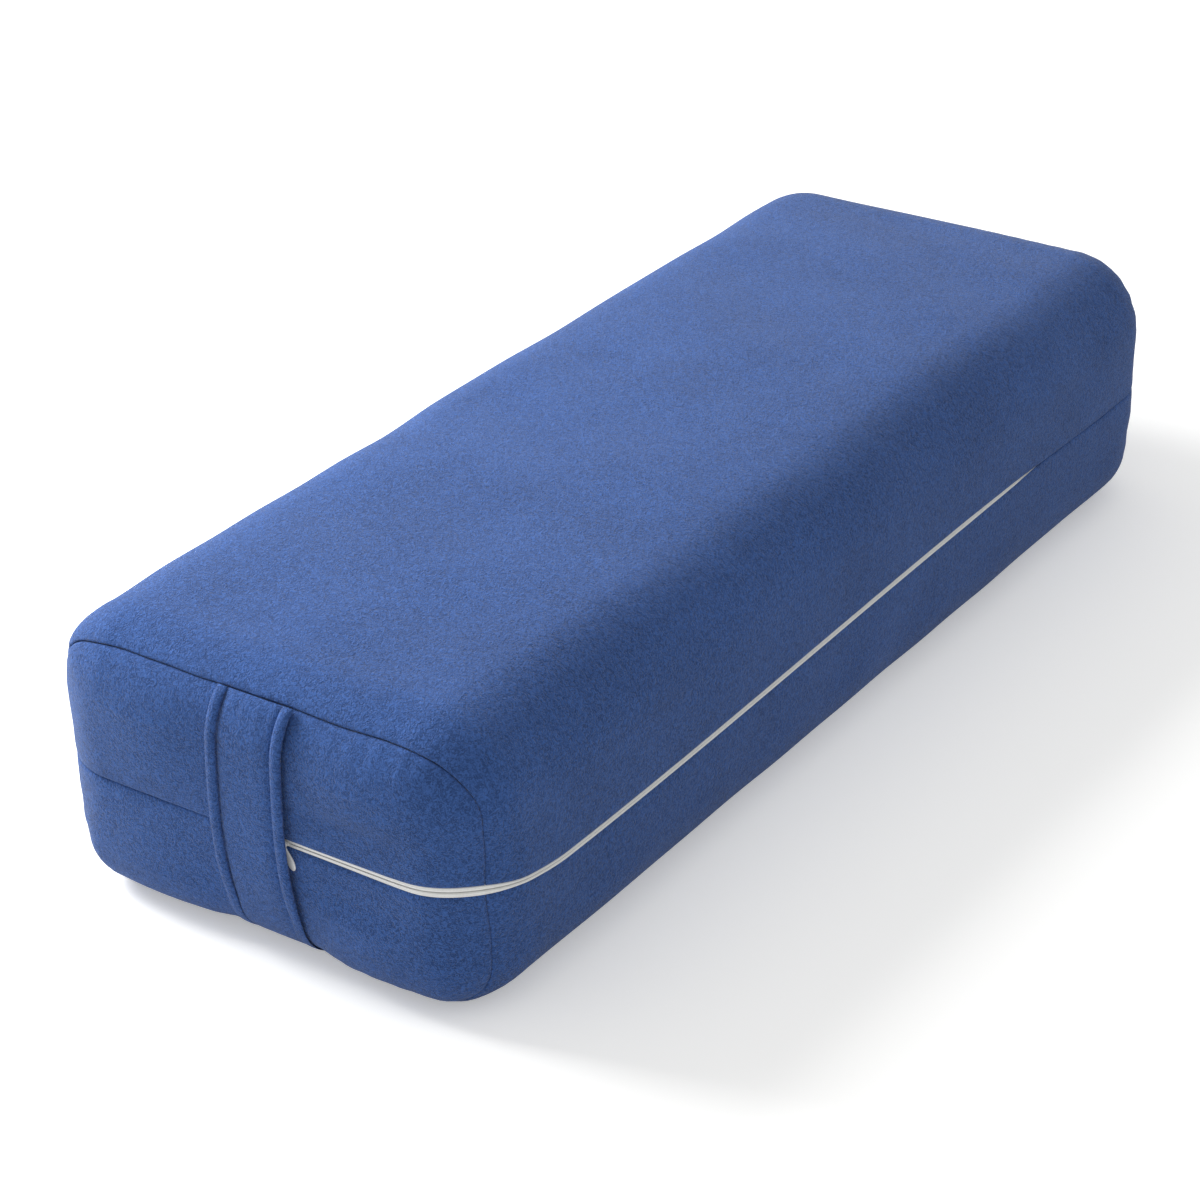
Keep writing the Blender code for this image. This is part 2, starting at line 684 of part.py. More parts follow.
def make_puller(paint, parts, slider):
    """A flat drop-shaped tab whose eye goes round the rear leg of the bail."""
    right = pull_outline()
    tip = [(0.0, -PULL_LENGTH)]
    left = [(-x, z) for x, z in reversed(right)]
    neck_angle = math.asin(PULL_NECK_WIDTH / 2 / PULL_RING_RADIUS)
    ring = []
    for step in range(1, EYE_STEPS):
        angle = blend(neck_angle, math.tau - neck_angle, step / EYE_STEPS)
        ring.append((-PULL_RING_RADIUS * math.sin(angle), -PULL_RING_RADIUS * math.cos(angle)))
    outer = right + tip + left + ring
    eye_radius = BAIL_WIRE / 2 + CLEARANCE
    eye = []
    for step in range(EYE_STEPS):
        angle = math.tau * step / EYE_STEPS
        eye.append((eye_radius * math.sin(angle), eye_radius * math.cos(angle)))
    curve = bpy.data.curves.new("pull_outline", "CURVE")
    curve.dimensions = "2D"
    curve.fill_mode = "BOTH"
    curve.extrude = PULL_THICKNESS / 2
    for loop in (outer, eye):
        spline = curve.splines.new("POLY")
        spline.points.add(len(loop) - 1)
        spline.use_cyclic_u = True
        for point, (x, z) in zip(spline.points, loop):
            point.co = (x, z, 0.0, 1.0)
    flat = bpy.data.objects.new("pull_flat", curve)
    parts.objects.link(flat)
    bpy.context.view_layer.update()
    evaluated = flat.evaluated_get(bpy.context.evaluated_depsgraph_get())
    mesh = bpy.data.meshes.new_from_object(evaluated)
    solid = bmesh.new()
    solid.from_mesh(mesh)
    bpy.data.objects.remove(flat, do_unlink=True)
    bpy.data.meshes.remove(mesh)
    for vert in solid.verts:
        vert.co = Vector((vert.co.x, vert.co.z, vert.co.y))
    puller = finish_object("zip_puller", solid, paint, parts)
    puller.data.materials.clear()
    puller.data.materials.append(paint)
    puller.parent = slider
    puller.location = (BAIL_SPAN / 2, -CLEARANCE - PULL_THICKNESS / 2, 0.0)
    puller.rotation_euler = (0.0, -PULL_LEAN, 0.0)
    return puller


def main():
    remove_old_objects()
    parts = new_collection("yoga_bolster")
    cutters = new_collection("cutters")
    cloth = new_material("blue_microsuede", "3A5C9C", 0.85)
    lining = new_material("cotton_lining", "E4E0D6", 0.9)
    wadding = new_material("polyester_wadding", "F1F1EE", 0.95)
    foam = new_material("firm_foam", "D9CFA8", 0.9)
    webbing = new_material("woven_webbing", "2B4478", 0.75)
    tape = new_material("white_zip_tape", "E6E6E4", 0.8)
    coil = new_material("white_nylon_coil", "EDEDEB", 0.45)
    paint = new_material("white_painted_zinc", "EEEEEC", 0.35)
    make_cover(cloth, parts)
    make_filling(lining, wadding, foam, parts)
    make_handle(cloth, webbing, parts)
    make_zip_tapes(tape, coil, paint, parts)
    slider = make_slider(paint, parts, cutters)
    make_puller(paint, parts, slider)


main()
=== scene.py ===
"""The looks of a rectangular yoga bolster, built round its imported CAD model.

The file is laid out as an add-on and is run as a script. The bolster lies along Y on the plane
z = 0, with its handle end at -Y and its zip on that end and along the +X side. Sizes are in
metres. The fine pieces follow the same stuffed block as the CAD model.
"""

import math
from collections import namedtuple

import bmesh
import bpy
import numpy as np
from mathutils import Matrix, Vector, kdtree


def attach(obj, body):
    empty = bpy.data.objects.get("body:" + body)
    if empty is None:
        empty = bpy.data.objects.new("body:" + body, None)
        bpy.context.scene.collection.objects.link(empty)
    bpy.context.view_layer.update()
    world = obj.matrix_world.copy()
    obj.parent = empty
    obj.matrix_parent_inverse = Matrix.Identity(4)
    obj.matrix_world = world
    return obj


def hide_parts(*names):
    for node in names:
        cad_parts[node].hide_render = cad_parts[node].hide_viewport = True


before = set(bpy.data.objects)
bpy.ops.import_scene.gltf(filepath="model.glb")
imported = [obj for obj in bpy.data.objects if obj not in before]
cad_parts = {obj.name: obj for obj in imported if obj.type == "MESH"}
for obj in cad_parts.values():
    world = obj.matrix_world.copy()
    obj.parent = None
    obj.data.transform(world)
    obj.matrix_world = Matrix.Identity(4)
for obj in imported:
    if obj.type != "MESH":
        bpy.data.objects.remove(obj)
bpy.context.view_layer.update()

bl_info = {
    "name": "Yoga Bolster",
    "version": (1, 0, 0),
    "blender": (4, 5, 0),
    "location": "3D View > Sidebar > Bolster",
    "description": "Builds a stuffed yoga bolster in a zipped cloth cover, with light and camera",
    "category": "Add Mesh",
}

# Stuffed block, as in the CAD model
LENGTH = 0.660
WIDTH = 0.260
HEIGHT = 0.1465
TOP_EDGE_RADIUS = 0.0435
BASE_EDGE_RADIUS = 0.0345
END_RADIUS_SIDE = 0.040
END_RADIUS_UPPER = 0.038
END_RADIUS_TOP = 0.0345
END_ROUND_LOWER_ACROSS = 0.034
END_ROUND_LOWER_ALONG = 0.050
END_RADIUS_BASE = 0.024
TOP_CROWN = 0.0025
SIDE_BULGE = 0.0020
END_BOW = 0.0020

# Seams and layers, as in the CAD model but for the corner of the zip, which is drawn up a little
# further, and for the seams, which are closed
MID_SEAM_HEIGHT = 0.0665
ZIP_RISE_END = 0.0022
ZIP_RISE_CORNER = 0.0022
ZIP_DROP_PAST_CORNER = 0.0066
ZIP_RISE_SIDE = 0.0070
ZIP_DROP_TAIL = 0.0028
ZIP_DROP_FAR = 0.0008
RISE_REACH = 0.055

# Where the zip draws the middle seam up or down: along X on the near end, along Y on the side
RISE_ZIPPED_X = (-0.014, 0.006)
RISE_CORNER_X = (0.077, 0.122)
DROP_PAST_CORNER_Y = (-0.322, -0.262)
RISE_SIDE_Y = (-0.260, 0.150)
DROP_TAIL_Y = (0.160, 0.280)
DROP_FAR_Y = (0.280, 0.325)

SEAM_ANGLE_SIDE = math.radians(36.0)
SEAM_ANGLE_LOWER = math.radians(40.0)
SEAM_ANGLE_TOP = math.radians(47.5)
SEAM_ANGLE_BASE = math.radians(26.0)
SEAM_GAP = 0.00002
SEAM_BELT = 0.013
CLEARANCE = 0.0003
SEAM_DENT = 0.0040
SEAM_DENT_REACH = 0.020
PARTING_REACH = 0.030
LINER_DEPTH = 0.0035
LINER_THICKNESS = 0.0006
WADDING_THICKNESS = 0.010
FILLING_STEP = 0.008

# Zip, as in the CAD model; the edges of the cloth close a little further over it
SLOT = 0.00025
ZIP_START_X = 0.008
ZIP_END_Y = 0.190
ZIP_RUN_END_X = 0.078
ZIP_WIDENING_X = 0.035
ZIP_WIDEST_X = 0.108
ZIP_CREST_X = 0.116
ZIP_NARROWING_START = 0.0115
ZIP_NARROWING_END = 0.034
ZIP_TAPER = 0.085
ZIP_TAPER_POWER = 0.7
TAPE_WIDTH = 0.012
TAPE_THICKNESS = 0.0005
TAPE_DEPTH = 0.0015
TAPE_CREST_DEPTH = 0.0006
TAPE_STEP = 0.0025
TAPE_FOLD = 0.0006
TAPE_FOLD_END = 0.0008
TAPE_FOLD_FREE = 0.0002
TAPE_FOLD_HALF_OPENING = 0.0011
TAPE_FOLD_SETBACK = 0.001
TAPE_SUNK_EDGE = 0.0003
COIL_DEPTH = 0.0023
COIL_PITCH = 0.0012
COIL_WIRE = 0.00045
COIL_INNER = 0.0003
COIL_WIDTH = 0.0020
COIL_THICKNESS = 0.0012
COIL_TURN_STEPS = 8
COIL_SIDES = 6
STOP_LENGTH = 0.0020
STOP_WIDTH = 0.0012
STOP_THICKNESS = 0.0009
STOP_BEVEL = 0.0003

# Slider and its pull tab, as in the CAD model
SLIDER_REST_X = 0.0183
SLIDER_LENGTH = 0.0090
SLIDER_WIDTH = 0.0056
SLIDER_OUTER_WIDTH = 0.0030
SLIDER_PLATE = 0.0008
SLIDER_WEB = 0.0004
SLIDER_WEB_LENGTH = 0.0030
SLIDER_WEB_SETBACK = 0.0003
SLIDER_WEB_BEVEL = 0.0001
PLATE_SIDES = 40
PLATE_SIDE_POWER = 0.55
PLATE_END_POWER = 0.75
BAIL_SPAN = 0.0044
BAIL_WIRE = 0.0009
BAIL_BEND = 0.0007
BAIL_SIDES = 12
PULL_THICKNESS = 0.0006
PULL_NECK_WIDTH = 0.0016
PULL_BELLY = 0.0095
PULL_RING_RADIUS = 0.0018
PULL_RIM = 0.00022
PULL_FULLNESS = 0.45
PULL_LEAN = math.radians(22.5)

# How the cloth lies at its seams and over the filling
SEAM_EDGE_DEPTH = 0.0009
SEAM_EDGE_WIDTH = 0.0024
SEAM_SINK = 0.0006
SEAM_SINK_REACH = 0.0045
SEAM_WANDER = 0.0004
SEAM_HOLD_REACH = 0.020
PUCKER_START = 0.0015
PUCKER_REACH = 0.009
PATCH_LEVEL = 0.55
PATCH_CONTRAST = 0.6
PATCH_MOST = 1.2
BELT_PUCKER_SHARE = 0.5
LOWER_CALM = 0.7
LOWER_CALM_FACING = (0.1, 0.6)
RESTING_FACING = (0.80, 0.98)
HOLLOW_SHARE = 0.35
EAR_HEIGHT = 0.0022
EAR_REACH = 0.025
EAR_FACING = 0.66
EAR_SPREAD = 0.26
CORNER_TUCK = 0.0022
TUCK_FACING = -0.55
TUCK_SPREAD = 0.35
PILLOW_HEIGHT = 0.0044
PILLOW_MIDDLE = 0.066
PILLOW_REACH = 0.048
OVERHANG = 0.0007
OVERHANG_REACH = 0.010
OVERHANG_FACING = (0.3, 0.9)
UNDERLAP_SHARE = 0.6
TAB_PATH_LEFT = (-0.030, 0.0)
TAB_PATH_RIGHT = (0.095, 0.110)
TAB_PATH_HEIGHT = (0.017, 0.032)

# Strap: where it sits, how it presses into the cloth and how its face strip is shaped
STRAP_STEPS = 36
STRAP_DENT = 0.0021
STRAP_DENT_Z = (0.004, 0.050)
STRAP_DENT_Y = (0.030 - LENGTH / 2, 0.060 - LENGTH / 2)
STRAP_SHIFT = 0.0028
STRAP_LEAN = 0.0035
STRAP_LEAN_HEIGHT = 0.080
STRAP_ARCH_POWER = 1.2
STRAP_FLAT_SHARE = 0.15
STRAP_FLAT_REACH = (0.010, 0.055)
STRAP_END_REACH = 0.004
WEBBING_THICKNESS = 0.0009
FACE_TUCK = 0.0004
FACE_COLUMNS = 41
FACE_EDGE = 0.0004
FACE_SHOULDER = 0.0014
FACE_SHOULDER_POWER = 6
FACE_CROWN = 0.0009
FACE_CROWN_POWER = 4
FACE_END_SHARE = 0.6
FACE_GATHERS = 0.0010
FACE_BASE = 0.0011
FACE_LEAST = 0.0002
RIM_END_SHARE = 0.45
RIM_SIDES = 20

# Meshes: rows and columns, fine beside a seam and coarse away from it, and their finishing
GRADING = 1.4
FINE_STEP = 0.00025
COARSE_STEP = 0.0030
PANEL_ARC = 0.032
WRAP_ARC = 0.0285
MERGE_DISTANCE = 0.000002
SHARP_ANGLE = math.radians(50.0)
BEVEL_SEGMENTS = 3
PROBE_DEPTH = 0.001

# Cloth simulation that gives the cover its swell
SIM_STEP = 0.0065
SIM_FRAMES = 20
SIM_SINK = 0.0020
SIM_SINK_REACH = 0.015
SIM_MERGE_DISTANCE = 0.00002
SIM_PINNED_REACH = 0.0005
SIM_FREE_REACH = 0.020
SIM_BLURS = 4
SIM_SETTINGS = {
    "quality": 6,
    "mass": 0.3,
    "tension_stiffness": 30.0,
    "compression_stiffness": 30.0,
    "shear_stiffness": 12.0,
    "bending_stiffness": 1.5,
    "use_pressure": True,
    "uniform_pressure_force": 4.0,
    "vertex_group_mass": "seams",
}

# Stage: a soft key lamp from the left, an even sky, and the camera of the photograph
KEY_LIGHT_PLACE = (-1.05, -0.27, 0.82)
KEY_LIGHT_WIDTH = 0.7
KEY_LIGHT_POWER = 27.5
SKY_LEVEL = 0.61
FLOOR_GLOW = 0.34
FLOOR_REACH = 6.0
FLOOR_DROP = 0.0004
CAMERA_AZIMUTH = math.radians(35.47)
CAMERA_ELEVATION = math.radians(28.66)
CAMERA_ROLL = math.radians(-1.71)
CAMERA_LENS = 96.435
CAMERA_SENSOR = 36.0
CAMERA_CLIP = (0.05, 30.0)
CAMERA_TARGET = (-0.0102, -0.0367, 0.0486)
CAMERA_DISTANCE = 1.6932

# A wave texture of scale 1 has about this many bands in a metre
BANDS_PER_METRE = 3.2

# Distances from one brush mark in the nap, or one faint shade of the floor, to the next
BRUSH_MARK = 0.0714
FLOOR_MOTTLE = 0.333

NEAR = -1
FAR = 1
UP = 1
DOWN = -1

Outline = namedtuple("Outline", "x z nx nz across along seam run")
Row = namedtuple("Row", "kind side value")


def linear_colour(hex_code):
    """Linear RGBA of an sRGB hex colour."""
    channels = []
    for start in (0, 2, 4):
        value = int(hex_code[start:start + 2], 16) / 255.0
        channels.append(value / 12.92 if value <= 0.04045 else ((value + 0.055) / 1.055) ** 2.4)
    return (*channels, 1.0)


def size_property(label, about, default):
    return bpy.props.FloatProperty(
        name=label, description=about, default=default, unit="LENGTH", precision=5, min=0.0,
    )


def colour_property(label, about, hex_code):
    return bpy.props.FloatVectorProperty(
        name=label, description=about, default=linear_colour(hex_code), subtype="COLOR",
        size=4, min=0.0, max=1.0,
    )


class BolsterSizes(bpy.types.PropertyGroup):
    """Sizes of the cover, the strap and the zip that a user may change."""

    cover_thickness: size_property("Cover Thickness", "Thickness of the cover's cloth", 0.0012)
    swell: size_property("Swell", "How far the filling may push the cloth in or out", 0.0009)
    ripple: size_property("Ripple", "Height of the broad, soft waves in the cover", 0.0009)
    pucker: size_property("Pucker", "Height of the small puckers beside the seams", 0.0005)
    nap_grain: size_property("Nap Grain", "Size of the clumps of the cloth's short nap", 0.0012)
    zip_opening: size_property("Zip Opening", "Gap over the slider's run", 0.0034)
    zip_opening_corner: size_property("Zip Opening at Corner", "Gap at its widest", 0.0046)
    zip_opening_side: size_property("Zip Opening at Side", "Gap along the side", 0.0026)
    strap_width: size_property("Strap Width", "Width of the handle strap over its rims", 0.044)
    rim_width: size_property("Rim Width", "Width of each rolled rim of the strap", 0.0060)
    rim_height: size_property("Rim Height", "Height of each rolled rim of the strap", 0.0038)
    strap_stand_off: size_property("Strap Stand Off", "Gap behind the strap half way down", 0.0024)
    pull_length: size_property("Pull Length", "Length of the zip's pull tab", 0.0135)
    pull_width: size_property("Pull Width", "Width of the zip's pull tab", 0.0044)


class BolsterColours(bpy.types.PropertyGroup):
    """Colours of the bolster's materials."""

    # Light and dark nap tones, which also carry the grain's painted highlight and painted shade
    cloth_light_and_highlight: colour_property("Cloth, Light", "Nap brushed towards the light", "476DB4")
    cloth_dark_and_shade: colour_property("Cloth, Dark", "Nap brushed away, and between clumps", "223761")
    webbing: colour_property("Webbing", "Webbing behind the strap", "2B4478")
    tape: colour_property("Zip Tape", "Woven tape of the zip", "F1F1EF")
    coil: colour_property("Zip Coil", "Nylon coil of the zip", "EDEDEB")
    paint: colour_property("Zip Paint", "Paint on the slider, pull tab and stops", "F0F0EE")
    lining: colour_property("Lining", "Cotton lining", "E4E0D6")
    wadding: colour_property("Wadding", "Polyester wadding", "F1F1EE")
    foam: colour_property("Foam", "Polyurethane foam core", "D9CFA8")
    floor: colour_property("Floor", "Pale studio floor", "F3F3F1")


def sizes():
    return bpy.context.scene.bolster_sizes


def colours():
    return bpy.context.scene.bolster_colours


def blend(start, end, share):
    return start + (end - start) * share


def smooth_step(value, start, end):
    share = np.clip((value - start) / (end - start), 0.0, 1.0)
    return share * share * (3.0 - 2.0 * share)


def run_length(places):
    """Distances along a line of places, from its start."""
    steps = np.linalg.norm(np.diff(places, axis=0), axis=1)
    return np.concatenate([[0.0], np.cumsum(steps)])


def graded(length, fine, coarse):
    """Distances from a seam: close together beside it and further apart away from it."""
    marks = [0.0]
    step = fine
    while marks[-1] < length:
        marks.append(marks[-1] + step)
        step = min(step * GRADING, coarse)
    return np.array(marks) * (length / marks[-1])


def end_rounding(z, nz):
    """How far the block rounds into its end, across and along, for points of its outline, and
    the angle at which the end seam runs there."""
    upper = smooth_step(z, MID_SEAM_HEIGHT + SEAM_BELT, HEIGHT - TOP_EDGE_RADIUS)
    lower = smooth_step(-z, SEAM_BELT - MID_SEAM_HEIGHT, -BASE_EDGE_RADIUS)
    radius = blend(blend(END_RADIUS_SIDE, END_RADIUS_UPPER, upper), END_RADIUS_TOP, nz * nz)
    across = blend(blend(END_RADIUS_SIDE, END_ROUND_LOWER_ACROSS, lower), END_RADIUS_BASE, nz * nz)
    along = blend(blend(END_RADIUS_SIDE, END_ROUND_LOWER_ALONG, lower), END_RADIUS_BASE, nz * nz)
    upper_seam = blend(SEAM_ANGLE_SIDE, SEAM_ANGLE_TOP, nz * nz)
    lower_seam = blend(blend(SEAM_ANGLE_SIDE, SEAM_ANGLE_LOWER, lower), SEAM_ANGLE_BASE, nz * nz)
    above = z >= MID_SEAM_HEIGHT
    return (
        np.where(above, radius, across), np.where(above, radius, along),
        np.where(above, upper_seam, lower_seam),
    )


def make_outline(x, z, nx, nz):
    """The outline with all that a point of it needs, and its length run from the start."""
    x, z, nx, nz = (np.asarray(values, float) for values in (x, z, nx, nz))
    across, along, seam = end_rounding(z, nz)
    return Outline(x, z, nx, nz, across, along, seam, run_length(np.stack([x, z], -1)))


def half_outline(direction, fine=FINE_STEP, coarse=COARSE_STEP):
    """The cross-section from the right middle seam over the top, or under the base, to the
    left middle seam."""
    radius = TOP_EDGE_RADIUS if direction == UP else BASE_EDGE_RADIUS
    edge_z = HEIGHT if direction == UP else 0.0
    arc_x = WIDTH / 2 - radius
    arc_z = edge_z - direction * radius
    wall = graded(direction * (arc_z - MID_SEAM_HEIGHT), fine, coarse)
    quarter = math.pi / 2
    angles = np.linspace(0.0, quarter, round(radius * quarter / coarse) + 1)[1:-1]
    flat = np.linspace(arc_x, -arc_x, round(2.0 * arc_x / coarse) + 1)
    right_x = np.concatenate([np.full(len(wall), WIDTH / 2), arc_x + radius * np.cos(angles)])
    rounded_z = arc_z + direction * radius * np.sin(angles)
    right_z = np.concatenate([MID_SEAM_HEIGHT + direction * wall, rounded_z])
    right_nx = np.concatenate([np.ones(len(wall)), np.cos(angles)])
    right_nz = np.concatenate([np.zeros(len(wall)), direction * np.sin(angles)])
    return make_outline(
        np.concatenate([right_x, flat, -right_x[::-1]]),
        np.concatenate([right_z, np.full(len(flat), edge_z), right_z[::-1]]),
        np.concatenate([right_nx, np.zeros(len(flat)), -right_nx[::-1]]),
        np.concatenate([right_nz, np.full(len(flat), float(direction)), right_nz[::-1]]),
    )


def wrap_rows(fine=FINE_STEP, coarse=COARSE_STEP):
    """Rows of a panel that runs the length of the block, from seam to seam."""
    rounded = 1.0 - graded(WRAP_ARC, fine, coarse) / WRAP_ARC
    near = [Row("wrap", NEAR, value) for value in rounded]
    straight = np.linspace(-1.0, 1.0, round((LENGTH - 2.0 * END_RADIUS_SIDE) / coarse) + 1)[1:-1]
    far = [Row("wrap", FAR, value) for value in rounded[::-1]]
    return near + [Row("straight", FAR, value) for value in straight] + far


def panel_rows(side, fine=FINE_STEP, coarse=COARSE_STEP):
    """Rows of an end panel, from its seam to the middle of the end."""
    rounded = graded(PANEL_ARC, fine, coarse) / PANEL_ARC
    caps = np.linspace(0.0, 1.0, round((WIDTH / 2 - END_RADIUS_SIDE) / coarse) + 1)[1:]
    rows = [Row("panel", side, value) for value in rounded]
    return rows + [Row("cap", side, value) for value in caps]


def tray_rows(coarse):
    """Rows over a whole half of the block, from the middle of one end to that of the other."""
    far = panel_rows(FAR, coarse, coarse)
    near = [row._replace(side=NEAR) for row in reversed(far)]
    return near + wrap_rows(coarse, coarse)[1:-1] + far


def waves(seed, count, shortest, longest, planar=False):
    """Directions and phases of plane waves that add up to a smooth, seeded unevenness."""
    random = np.random.default_rng(seed)
    lengths = np.exp(random.uniform(np.log(shortest), np.log(longest), count))
    directions = random.normal(size=(count, 3))
    if planar:
        directions[:, 2] = 0.0
    directions /= np.linalg.norm(directions, axis=1, keepdims=True)
    return directions * (math.tau / lengths)[:, None], random.uniform(0.0, math.tau, count)


def wave_sum(points, pattern):
    """Unevenness at the points, about -1 to 1."""
    numbers, phases = pattern
    return np.sin(points @ numbers.T + phases).sum(axis=-1) / math.sqrt(len(phases) * 2.0)


RIPPLE_WAVES = waves(seed=11, count=18, shortest=0.055, longest=0.16)
PATCH_WAVES = waves(seed=12, count=8, shortest=0.035, longest=0.09)
BELT_WAVES = waves(seed=13, count=12, shortest=0.008, longest=0.022, planar=True)
RUN_WAVES = waves(seed=14, count=12, shortest=0.007, longest=0.018)
WANDER_WAVES = waves(seed=15, count=8, shortest=0.030, longest=0.120)


def along_run(run, pattern):
    """Unevenness that depends only on the distance along a seam."""
    points = np.zeros((len(run), 3))
    points[:, 0] = run
    numbers, phases = pattern
    straight = np.zeros_like(numbers)
    straight[:, 0] = np.linalg.norm(numbers, axis=1)
    return wave_sum(points, (straight, phases))


def end_angle(outline, row):
    """Angle from the side of the block towards its end. The seam wanders a little."""
    half_gap = SEAM_GAP / 2 / outline.across
    wander = SEAM_WANDER * along_run(outline.run, WANDER_WAVES) / outline.across
    if row.kind == "wrap":
        share = row.value
        return outline.seam * share + (wander - half_gap * (share == 1.0)) * share
    share = 1.0 - row.value
    angle = blend(outline.seam, math.pi / 2, row.value)
    return angle + (wander + half_gap * (share == 1.0)) * share


def on_block(outline, row, depth):
    """Points of the block before it is stuffed, at a depth below its outer face."""
    core_x = outline.x - outline.nx * outline.across
    core_z = outline.z - outline.nz * outline.across
    core_y = LENGTH / 2 - outline.along
    if row.kind == "cap":
        x = blend(core_x, 0.0, row.value)
        y = row.side * (LENGTH / 2 - depth) + 0.0 * core_x
        return np.stack([x, y, blend(core_z, MID_SEAM_HEIGHT, row.value)], -1)
    if row.kind == "straight":
        reach = outline.across - depth
        y = row.value * core_y
    else:
        angle = end_angle(outline, row)
        reach = (outline.across - depth) * np.cos(angle)
        y = row.side * (core_y + (outline.along - depth) * np.sin(angle))
    return np.stack([core_x + outline.nx * reach, y, core_z + outline.nz * reach], -1)


def seam_rise(x, y):
    """How far the middle seam is drawn up or down by the zip, at places on the block."""
    zipped = smooth_step(x, *RISE_ZIPPED_X)
    corner = smooth_step(x, *RISE_CORNER_X)
    past_corner = smooth_step(y, *DROP_PAST_CORNER_Y)
    side = smooth_step(y, *RISE_SIDE_Y)
    tail = smooth_step(y, *DROP_TAIL_Y)
    far = smooth_step(y, *DROP_FAR_Y)
    rise = ZIP_RISE_END + ZIP_RISE_CORNER * corner - ZIP_DROP_PAST_CORNER * past_corner
    return zipped * (rise + ZIP_RISE_SIDE * side - ZIP_DROP_TAIL * tail - ZIP_DROP_FAR * far)


def stuffed(points):
    """The block swells a little: a crown on top, full sides and bowed ends. The zip draws the
    middle seam up and down."""
    x, y, z = np.moveaxis(points, -1, 0)
    along = np.clip(1.0 - (2.0 * y / LENGTH) ** 4, 0.0, None)
    across = np.clip(1.0 - (2.0 * x / WIDTH) ** 2, 0.0, None)
    wall = np.clip(4.0 * z / HEIGHT * (1.0 - z / HEIGHT), 0.0, None)
    top = smooth_step(z, MID_SEAM_HEIGHT + SEAM_BELT, HEIGHT)
    belt = 1.0 - smooth_step(np.abs(z - MID_SEAM_HEIGHT), SEAM_BELT, RISE_REACH)
    return np.stack([
        x * (1.0 + SIDE_BULGE / (WIDTH / 2) * along * wall),
        y * (1.0 + END_BOW / (LENGTH / 2) * wall),
        z + TOP_CROWN * along * across * top + seam_rise(x, y) * belt,
    ], -1)


def zip_opening(x, y):
    """Width of the gap in the cover that shows the zip, at places on the middle seam."""
    size = sizes()
    starts = smooth_step(x, ZIP_START_X - TAPE_WIDTH / 2, ZIP_START_X)
    widens = smooth_step(x, ZIP_WIDENING_X, ZIP_WIDEST_X)
    narrows = smooth_step(y + LENGTH / 2, ZIP_NARROWING_START, ZIP_NARROWING_END)
    ends = 1.0 - np.clip((y - ZIP_END_Y + ZIP_TAPER) / ZIP_TAPER, 0.0, 1.0)
    opening = blend(size.zip_opening, size.zip_opening_corner, widens)
    return starts * ends ** ZIP_TAPER_POWER * blend(opening, size.zip_opening_side, narrows)


def parting(points, direction):
    """How far a panel's cloth keeps off the middle seam, fading away from the seam."""
    height = np.abs(points[..., 2] - MID_SEAM_HEIGHT)
    fade = 1.0 - smooth_step(height, 0.0, PARTING_REACH)
    opening = zip_opening(points[..., 0], points[..., 1])
    return direction * (SEAM_GAP + opening) / 2 * fade


def seam_distances(outline, row, points):
    """Distances along the cloth to the middle seam and to the end seam."""
    to_middle = np.abs(points[..., 2] - MID_SEAM_HEIGHT)
    if row.kind == "wrap":
        return to_middle, outline.across * outline.seam * (1.0 - row.value)
    if row.kind == "panel":
        return to_middle, outline.across * (math.pi / 2 - outline.seam) * row.value
    return to_middle, np.full(len(outline.x), 1.0)


def pucker_fade(distance):
    """Share of the puckers: none on the seam itself, most beside it, few away from it."""
    return (1.0 - np.exp(-distance / PUCKER_START)) * np.exp(-distance / PUCKER_REACH)


def corner_ear(outline, row, to_end):
    """The near left upper corner stands out, where the turned-in seam allowances bunch up, and
    the lower one is drawn in."""
    if row.side == FAR or row.kind not in ("wrap", "panel"):
        return np.zeros(len(outline.x))
    upper = EAR_HEIGHT * np.exp(-((outline.nz - EAR_FACING) / EAR_SPREAD) ** 2)
    lower = CORNER_TUCK * np.exp(-((outline.nz - TUCK_FACING) / TUCK_SPREAD) ** 2)
    fade = np.clip(1.0 - (to_end / EAR_REACH) ** 2, 0.0, None) ** 2
    return (upper - lower) * (outline.nx < 0.0) * fade


def end_pillow(row, points):
    """An end panel stands out a little: on both sides of the strap, or in the middle where
    there is none."""
    if row.kind in ("wrap", "straight"):
        return np.zeros(len(points))
    if row.side == FAR:
        share = points[:, 0] / (PILLOW_MIDDLE + PILLOW_REACH)
    else:
        share = (np.abs(points[:, 0]) - PILLOW_MIDDLE) / PILLOW_REACH
    return PILLOW_HEIGHT * np.clip(1.0 - share * share, 0.0, None) ** 2


def tab_path(row, points):
    """Share of the near end that has to stay flat, because the pull tab passes over it."""
    if row.side == FAR or row.kind in ("wrap", "straight"):
        return np.zeros(len(points))
    starts = smooth_step(points[:, 0], *TAB_PATH_LEFT)
    across = starts * (1.0 - smooth_step(points[:, 0], *TAB_PATH_RIGHT))
    height = np.abs(points[:, 2] - MID_SEAM_HEIGHT)
    return across * (1.0 - smooth_step(height, *TAB_PATH_HEIGHT))


def overhang(row, outline, to_end):
    """The top wrap stands over the top seam of an end, and the end panel lies under it."""
    if row.kind not in ("wrap", "panel"):
        return np.zeros(len(outline.x))
    way = 1.0 if row.kind == "wrap" else -UNDERLAP_SHARE
    facing = smooth_step(outline.nz, *OVERHANG_FACING)
    return way * OVERHANG * facing * np.exp(-to_end / OVERHANG_REACH)


